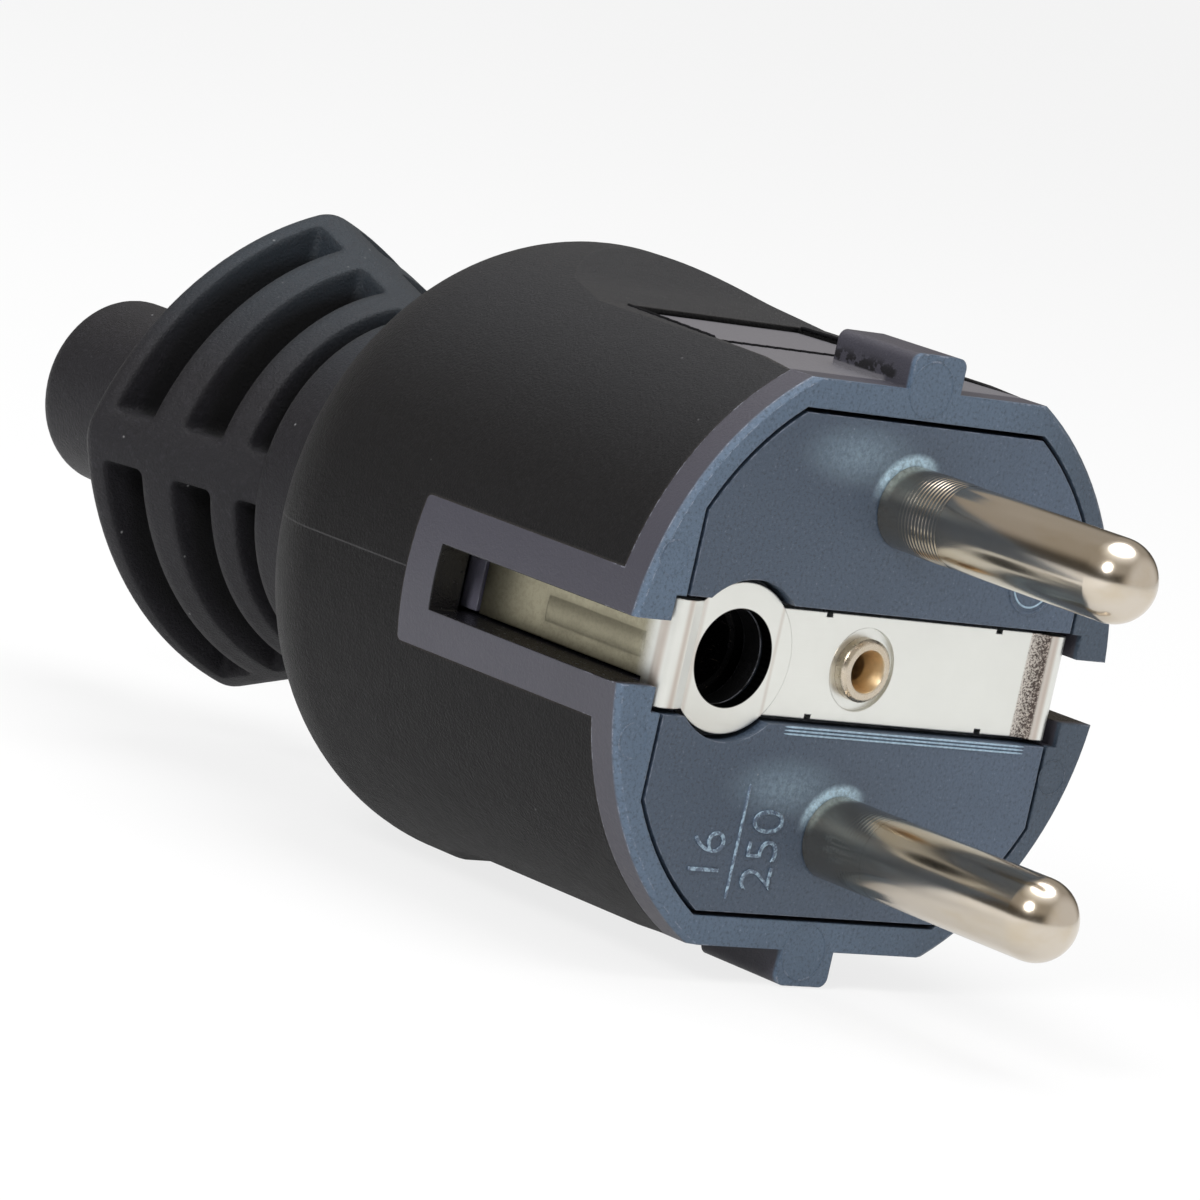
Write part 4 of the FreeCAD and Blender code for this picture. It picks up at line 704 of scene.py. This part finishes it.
class PlugPalette(bpy.types.PropertyGroup):
    """Colours of the plug's finishes, in linear light."""

    grip: hue("Grip", "Soft grip rubber", (0.0062, 0.0059, 0.0064))
    # Painted light: the grip's top, lighter and cooler as lit from above.
    grip_top_light: hue("Grip top", "Cooler tone of the grip's top", (0.0250, 0.0258, 0.0290))
    # Painted highlight along the grip's edges.
    grip_edge_highlight: hue("Grip edge", "Grip rubber where it thins at an edge", (0.075, 0.066, 0.060))
    relief: hue("Bend relief", "Rubber of the bend relief", (0.0120, 0.0114, 0.0140))
    # Painted light: the bend relief's top, lighter and cooler as lit from above.
    relief_top_light: hue("Relief top", "Cooler tone of the bend relief's top", (0.0280, 0.0370, 0.0470))
    # Near-black used as painted shade in slots, holes and shadow-line beads and on the earth sleeve; also the dark
    # patches on the top rib.
    slot: hue("Deep inside", "Plastic and rubber deep inside slots and holes", (0.003, 0.003, 0.0035))
    housing: hue("Housing", "Hard housing on its sides", (0.051, 0.0495, 0.065))
    # Painted light: the top flat, paler as lit from above.
    flat: hue("Bare flat", "Hard plastic of the flats between grip and ribs", (0.142, 0.138, 0.154))
    # Painted light: the housing's front, lighter and bluer than its sides as lit from the front.
    face: hue("Face rim", "Front edge of the housing", (0.089, 0.133, 0.196))
    carrier: hue("Carrier", "Front insert", (0.074, 0.107, 0.161))
    # Painted highlight round the pins' feet, on raised lines and on the ridges.
    sheen: hue("Sheen", "Polished or rubbed spots on the insert", (0.50, 0.70, 0.84))
    cover: hue("Cover", "Terminal cover and cord clamp", (0.05, 0.05, 0.055))
    # Painted glints on plastic edges and sparkling grains.
    painted_glint: hue("Worn edge", "Rubbed plastic edges", (0.42, 0.44, 0.52))
    dust: hue("Dust", "Pale specks on dark surfaces", (0.45, 0.45, 0.46))
    nickel: hue("Nickel", "Nickel plating on the pins", (0.62, 0.56, 0.48))
    nickel_warm: hue("Warm nickel", "Nickel where brass shines through", (0.56, 0.47, 0.34))
    # Painted reflection: the dark, warm face mirrored in the pins near their feet.
    foot: hue("Pin foot", "Tarnished nickel near the face", (0.44, 0.37, 0.28))
    # Brown painted as shade along the strip's folds and bend lines, also tinting its rise.
    fold: hue("Fold", "Strip where a bend stretched its plating", (0.46, 0.36, 0.30))
    strip: hue("Earth strip", "Earth strip on the face", (0.83, 0.84, 0.80))
    # Painted shade: the strip's legs, darker deep in the side slots.
    leg: hue("Strip leg", "Earth strip down the side slots", (0.43, 0.40, 0.29))
    gold: hue("Rivet bore", "Brass inside the rivet", (0.92, 0.70, 0.42))
    brass: hue("Brass", "Earth bus and earth terminal", (0.62, 0.45, 0.2))
    steel: hue("Screw steel", "Zinc-plated screws", (0.6, 0.6, 0.58))
    spring: hue("Spring steel", "Wire guards and spring ring", (0.45, 0.45, 0.45))
    pit: hue("Pit", "Small pits in plating", (0.085, 0.066, 0.06))
    spark: hue("Spark pit", "Small pits of the spark-eroded plastic", (0.012, 0.018, 0.024))


class PlugMarks(bpy.types.PropertyGroup):
    """Small raised features of the plug's face."""

    upper_number: StringProperty(name="Upper number", description="Raised number above the bar", default="16")
    lower_number: StringProperty(name="Lower number", description="Raised number below the bar", default="250")
    numeral_height: span("Numeral height", "Height of the raised numerals", 2.3 * MM)
    numeral_lift: span("Numeral lift", "How far numerals and lines stand out of the face", 0.09 * MM)
    line_width: span("Line width", "Width of a raised line", 0.2 * MM)
    ejector_radius: span("Ejector radius", "Radius of an ejector mark", 1.0 * MM)
    ejector_lift: span("Ejector lift", "Height of an ejector mark's rim", 0.03 * MM)
    pin_radius: span("Pin radius", "Radius of a contact pin", 2.4 * MM)
    ring_count: IntProperty(name="Turned rings", description="Turned rings near a pin's foot", default=12, min=0)
    ring_pitch: span("Ring pitch", "Distance between two turned rings", 0.27 * MM)
    ring_start: span("Ring start", "Face to the first turned ring", 1.6 * MM)


class PlugStudio(bpy.types.PropertyGroup):
    """Camera, lamps and floor."""

    aim: point("Aim", "Point that the camera looks at", (-10.6 * MM, -11.5 * MM, 0.7 * MM))
    distance: span("Distance", "Camera to its aim", 420 * MM)
    azimuth: angle("Azimuth", "Camera's angle round the plug", 47.58)
    elevation: angle("Elevation", "Camera's angle above the floor", 7.64)
    roll: angle("Roll", "Camera's turn about its line of sight", 12.56)
    sensor: FloatProperty(name="Sensor", description="Width of the camera's sensor in millimetres", default=36.0)
    lens: FloatProperty(name="Lens", description="Focal length in millimetres", default=226.27)
    sky: amount("Sky", "Strength of the even light from all round", 0.55)
    room: amount("Room", "Strength of the dim room in reflections", 0.07)
    room_colour: hue("Room colour", "Tint of the dim room in reflections", (1.0, 0.86, 0.68))
    key: amount("Key", "Power of the large overhead lamp in watts", 2.0)
    key_place: point("Key place", "Where the overhead lamp hangs", (-0.02, 0.05, 0.55))
    key_size: span("Key size", "Width of the overhead lamp", 0.5)
    fill: amount("Fill", "Power of the lamp beside the camera in watts", 1.2)
    fill_offset: point("Fill offset", "From the camera to the lamp beside it", (-0.18, -0.10, 0.22))
    fill_size: span("Fill size", "Width of the lamp beside the camera", 0.17)
    lamp_aim: point("Lamp aim", "Point that both lamps face", (-0.01, 0.0, 0.0))
    floor: hue("Floor", "Colour of the floor", (0.86, 0.86, 0.86))
    floor_radius: span("Floor radius", "Radius of the floor's disc", 3.0)


# Operators


class PlugHousing(bpy.types.Operator):
    """Finish the hard housing and mark its front rim and guide ribs."""

    bl_idname = "plug.housing"
    bl_label = "Housing"

    def execute(self, context):
        marks = context.scene.plug_marks
        plastic = housing_plastic(context.scene.plug_palette)
        dress(plastic, "housing_core")
        radius = marks.ejector_radius / MM
        lift = marks.ejector_lift / MM
        width = marks.line_width / MM / 2
        rings = [bead_ring(spot, radius, width, lift) for spot in RIM_SPOTS]
        piece("rim_ejector_marks", *joined(rings), plastic, "housing_plastic")
        rings = [bead_ring(spot, RIB_MARK_SCALE * radius, width, lift) for spot in RIB_SPOTS]
        piece("rib_ejector_marks", *joined(rings), plastic, "housing_plastic")
        return {"FINISHED"}


class PlugGrip(bpy.types.Operator):
    """Finish the soft grip and lay black beads along the bare flats as painted shadow lines."""

    bl_idname = "plug.grip"
    bl_label = "Soft grip"

    def execute(self, context):
        palette = context.scene.plug_palette
        dress(grip_rubber(palette), "soft_grip")
        step = shadow_line((FLAT_STEP_X, -SHADOW_LINE_STEP_REACH), (FLAT_STEP_X, SHADOW_LINE_STEP_REACH), FLAT_Z)
        sides = [shadow_line((FLAT_STEP_X, side * SHADOW_LINE_FRONT_Y), (FLAT_END_X, side * SHADOW_LINE_END_Y), GRIP_EDGE_Z)
                 for side in (-1, 1)]
        points, quads = joined([step, *sides])
        turned = points * (1, -1, -1)
        both = joined([(points, quads), (turned, quads)])
        piece("flat_shadow_lines", *both, shadow_line_rubber(palette), "grip_rubber")
        return {"FINISHED"}


class PlugCarrier(bpy.types.Operator):
    """Finish the front insert and raise its plain numerals, bar, ridges and double circle."""

    bl_idname = "plug.carrier"
    bl_label = "Contact carrier"

    def execute(self, context):
        palette = context.scene.plug_palette
        marks = context.scene.plug_marks
        plastic = carrier_plastic(palette)
        dress(plastic, "contact_carrier")
        raised = raised_plastic(palette)
        lift = marks.numeral_lift / MM
        height = marks.numeral_height / MM
        width = marks.line_width / MM
        numerals = (("upper_numerals", marks.upper_number, UPPER_LENGTH, UPPER_CORNER),
                    ("lower_numerals", marks.lower_number, LOWER_LENGTH, LOWER_CORNER))
        for name, text, length, corner in numerals:
            mesh = numeral_mesh(text, length, height, lift, corner)
            mesh.materials.append(raised)
            made = bpy.data.objects.new(name, mesh)
            context.collection.objects.link(made)
            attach(made, "root")
        bar = bead_bar((BAR_Y, BAR_LOW_Z), (BAR_Y, BAR_HIGH_Z), width, lift)
        piece("numeral_bar", *bar, raised, "carrier_plastic")
        ridged = ridge_plastic(palette)
        lines = [bead_bar((RIDGE_LEFT_Y, z), (RIDGE_RIGHT_Y, z), width * 0.6, lift * 0.7, along=48)
                 for z in RIDGE_ROWS]
        piece("channel_ridges", *joined(lines), ridged, "carrier_plastic")
        circle = bead_ring(CIRCLE_CENTRE, CIRCLE_RADIUS, width, lift)
        piece("face_circle", *circle, plastic, "carrier_plastic")
        # The inner circle takes the ridges' painted highlight.
        circle = bead_ring(CIRCLE_CENTRE, INNER_RADIUS, width * 0.6, lift * 0.6)
        piece("inner_circle", *circle, ridged, "carrier_plastic")
        return {"FINISHED"}


class PlugPins(bpy.types.Operator):
    """Finish the contact pins and turn the fine rings near their feet.

    A ring's crest is a raised cosine along the pin; it fades at both ends of the band as the square root of
    a sine.
    """

    bl_idname = "plug.pins"
    bl_label = "Contact pins"

    def execute(self, context):
        marks = context.scene.plug_marks
        metal = pin_nickel(context.scene.plug_palette)
        dress(metal, "pin_line", "pin_neutral")
        radius = marks.pin_radius / MM
        pitch = marks.ring_pitch / MM
        start = marks.ring_start / MM
        x = np.linspace(0, marks.ring_count * pitch, marks.ring_count * RING_STEPS + 1)
        fade = np.sin(np.pi * x / x[-1]) ** 0.5
        for name, z, depth in (("rings_line", PIN_Z, LINE_RING_DEPTH), ("rings_neutral", -PIN_Z, NEUTRAL_RING_DEPTH)):
            crest = RING_BASE + depth * fade * (1 - np.cos(2 * np.pi * x / pitch)) / 2
            profile = np.stack([start + x, radius + crest], axis=-1)
            piece(name, *turned_band(z, profile), metal, "pin_nickel")
        return {"FINISHED"}


class PlugEarth(bpy.types.Operator):
    """Finish the earth strip and its hollow rivet."""

    bl_idname = "plug.earth"
    bl_label = "Earth strip"

    def execute(self, context):
        palette = context.scene.plug_palette
        dress(strip_nickel(palette), "earth_strip")
        dress(rivet_nickel(palette), "earth_rivet")
        return {"FINISHED"}


class PlugRelief(bpy.types.Operator):
    """Finish the slotted bend relief."""

    bl_idname = "plug.relief"
    bl_label = "Bend relief"

    def execute(self, context):
        dress(relief_rubber(context.scene.plug_palette), "bend_relief")
        return {"FINISHED"}


class PlugInside(bpy.types.Operator):
    """Finish the terminals, screws, cover and clamp inside the housing."""

    bl_idname = "plug.inside"
    bl_label = "Inner parts"

    def execute(self, context):
        palette = context.scene.plug_palette
        dress(inner_plastic(palette), "terminal_cover", "cord_clamp")
        # The earth bus takes painted shade round the earth hole.
        dress(machined_metal("terminal_brass", palette.brass, 0.25, palette.slot), "earth_bus", "earth_terminal")
        dress(shaded_brass(palette), "earth_socket")
        screws = [name for name in NODES if "screw" in name]
        dress(machined_metal("screw_steel", palette.steel, 0.25), *screws)
        springs = [name for name in NODES if "guard" in name or "spring" in name]
        dress(machined_metal("spring_steel", palette.spring, 0.3), *springs)
        return {"FINISHED"}


class PlugStage(bpy.types.Operator):
    """Set the plain pale floor, the soft studio light and the camera."""

    bl_idname = "plug.stage"
    bl_label = "Stage"

    def execute(self, context):
        studio = context.scene.plug_studio
        add_floor(studio)
        add_sky(context.scene, studio)
        add_lamp("overhead_lamp", Vector(studio.key_place), studio.key, studio.key_size, studio)
        camera = add_camera(context.scene, studio)
        beside = camera.location + Vector(studio.fill_offset)
        add_lamp("side_lamp", beside, studio.fill, studio.fill_size, studio)
        context.scene.view_settings.view_transform = "Standard"
        return {"FINISHED"}


def add_floor(studio):
    """A large disc under the plug, whose surface shows almost white to the camera but keeps its shadow.

    In reflections it shines dimly, and hardly at all on the plug's far side.
    """
    level = CAD_BOX[0].z / MM
    turn = np.linspace(0, 2 * np.pi, 96, endpoint=False)[None, :]
    reach = np.linspace(0.1, studio.floor_radius / MM, 12)[:, None]
    points = np.stack([reach * np.cos(turn), reach * np.sin(turn), level + 0 * reach * turn], axis=-1)
    points, quads = surface(points, closed_columns=True)
    mesh = bpy.data.meshes.new("floor")
    mesh.from_pydata((points * MM).tolist(), [], quads.tolist())
    made = bpy.data.objects.new("floor", mesh)
    bpy.context.collection.objects.link(made)
    finish = Finish("floor", Roughness=0.9, Specular_IOR_Level=0.1)
    finish.set(Base_Color=finish.tinted(finish.noise(40.0, 3.0) * 0.02, studio.floor, 1.0, 0.9))
    white = finish.node("ShaderNodeEmission", {}, {"Color": WHITE, "Strength": 1.0})
    rays = finish.node("ShaderNodeLightPath")
    towards_bright = finish.x * 0.73 + finish.y * 0.67
    far_side = finish.rise(towards_bright, -10.0, -55.0)
    mirrored = Quantity(finish, rays.outputs["Is Glossy Ray"]) * (0.5 - far_side * 0.45)
    seen = finish.math("MAXIMUM", Quantity(finish, rays.outputs["Is Camera Ray"]) * 0.8, mirrored)
    mixed = finish.node("ShaderNodeMixShader", {}, {0: seen, 1: finish.shader.outputs[0], 2: white.outputs[0]})
    output = finish.tree.nodes["Material Output"]
    finish.tree.links.new(mixed.outputs[0], output.inputs["Surface"])
    mesh.materials.append(finish.material)


def add_sky(scene, studio):
    """Light from all round: white to the camera, plain grey to matte surfaces, a dim room in reflections.

    In reflections the room is dark and warm along the horizon, white towards the right front, half
    bright above the horizon and white overhead. All of it goes by direction in the world.
    """
    world = bpy.data.worlds.new("studio")
    scene.world = world
    world.use_nodes = True
    tree = world.node_tree
    made = tree.nodes.new

    link = tree.links.new

    def graded(value, low, high, floor, ceiling):
        """floor where the value is low and ceiling where it is high, with a smooth step between."""
        step = made("ShaderNodeMapRange")
        step.interpolation_type = "SMOOTHSTEP"
        for name, number in (("From Min", low), ("From Max", high), ("To Min", floor), ("To Max", ceiling)):
            step.inputs[name].default_value = number
        link(value, step.inputs["Value"])
        return step.outputs[0]

    def joined_by(operation, first, second):
        """The result of one Math node with two inputs."""
        join = made("ShaderNodeMath")
        join.operation = operation
        link(first, join.inputs[0])
        link(second, join.inputs[1])
        return join.outputs[0]

    plain = tree.nodes["Background"]
    plain.inputs["Color"].default_value = WHITE
    plain.inputs["Strength"].default_value = studio.sky
    direction = made("ShaderNodeTexCoord").outputs["Generated"]
    split = made("ShaderNodeSeparateXYZ")
    link(direction, split.inputs[0])
    turned_to = made("ShaderNodeVectorMath")
    turned_to.operation = "DOT_PRODUCT"
    link(direction, turned_to.inputs[0])
    turned_to.inputs[1].default_value = BRIGHT_SIDE
    front = graded(turned_to.outputs["Value"], 0.15, 0.8, 0.0, 0.78)
    above = graded(split.outputs["Z"], 0.22, 0.5, studio.room, studio.room + 0.35)
    overhead = graded(split.outputs["Z"], 0.72, 0.95, 0.0, 0.6)
    strength = joined_by("MAXIMUM", front, joined_by("ADD", above, overhead))
    warm = made("ShaderNodeMix")
    warm.data_type = "RGBA"
    warm.inputs[6].default_value = colour(studio.room_colour)
    warm.inputs[7].default_value = WHITE
    link(strength, warm.inputs[0])
    room = made("ShaderNodeBackground")
    link(warm.outputs[2], room.inputs["Color"])
    link(strength, room.inputs["Strength"])
    white = made("ShaderNodeBackground")
    white.inputs["Color"].default_value = WHITE
    rays = made("ShaderNodeLightPath")
    mirrored = made("ShaderNodeMixShader")
    link(rays.outputs["Is Glossy Ray"], mirrored.inputs[0])
    link(plain.outputs[0], mirrored.inputs[1])
    link(room.outputs[0], mirrored.inputs[2])
    seen = made("ShaderNodeMixShader")
    link(rays.outputs["Is Camera Ray"], seen.inputs[0])
    link(mirrored.outputs[0], seen.inputs[1])
    link(white.outputs[0], seen.inputs[2])
    link(seen.outputs[0], tree.nodes["World Output"].inputs["Surface"])


def add_lamp(name, location, power, size, studio):
    """A round soft lamp that faces the plug."""
    lamp = bpy.data.lights.new(name, "AREA")
    lamp.energy = power
    lamp.shape = "DISK"
    lamp.size = size
    made = bpy.data.objects.new(name, lamp)
    made.location = location
    made.rotation_mode = "QUATERNION"
    made.rotation_quaternion = (Vector(studio.lamp_aim) - location).to_track_quat("-Z", "Y")
    bpy.context.collection.objects.link(made)


def add_camera(scene, studio):
    """The photograph's camera: far off, a little above the floor and rolled."""
    data = bpy.data.cameras.new("camera")
    data.sensor_width = studio.sensor
    data.lens = studio.lens
    data.clip_start = 0.01
    data.clip_end = 10
    back = Vector((math.sin(studio.azimuth) * math.cos(studio.elevation),
                   -math.cos(studio.azimuth) * math.cos(studio.elevation), math.sin(studio.elevation)))
    camera = bpy.data.objects.new("camera", data)
    camera.location = Vector(studio.aim) + back * studio.distance
    camera.rotation_mode = "QUATERNION"
    camera.rotation_quaternion = (-back).to_track_quat("-Z", "Y") @ Quaternion((0, 0, 1), studio.roll)
    scene.collection.objects.link(camera)
    scene.camera = camera
    return camera


class PlugPanel(bpy.types.Panel):
    """Lists the plug's pieces and settings in the sidebar."""

    bl_idname = "VIEW3D_PT_plug"
    bl_label = "Earthed plug"
    bl_space_type = "VIEW_3D"
    bl_region_type = "UI"
    bl_category = "Plug"

    def draw(self, context):
        for operator in OPERATORS:
            self.layout.operator(operator.bl_idname)
        for name, group in GROUPS:
            box = self.layout.box()
            settings = getattr(context.scene, name)
            for setting in group.__annotations__:
                box.prop(settings, setting)


OPERATORS = (PlugHousing, PlugGrip, PlugCarrier, PlugPins, PlugEarth, PlugRelief, PlugInside, PlugStage)
GROUPS = (("plug_palette", PlugPalette), ("plug_marks", PlugMarks), ("plug_studio", PlugStudio))


def register():
    """Add the settings, operators and panel to Blender."""
    for name, group in GROUPS:
        bpy.utils.register_class(group)
        setattr(bpy.types.Scene, name, PointerProperty(type=group))
    for operator in OPERATORS:
        bpy.utils.register_class(operator)
    bpy.utils.register_class(PlugPanel)


def unregister():
    """Take them out again, last first."""
    bpy.utils.unregister_class(PlugPanel)
    for operator in reversed(OPERATORS):
        bpy.utils.unregister_class(operator)
    for name, group in reversed(GROUPS):
        delattr(bpy.types.Scene, name)
        bpy.utils.unregister_class(group)


def main():
    """Make every piece and the stage."""
    register()
    bpy.ops.plug.housing()
    bpy.ops.plug.grip()
    bpy.ops.plug.carrier()
    bpy.ops.plug.pins()
    bpy.ops.plug.earth()
    bpy.ops.plug.relief()
    bpy.ops.plug.inside()
    bpy.ops.plug.stage()


if __name__ == "__main__":
    main()
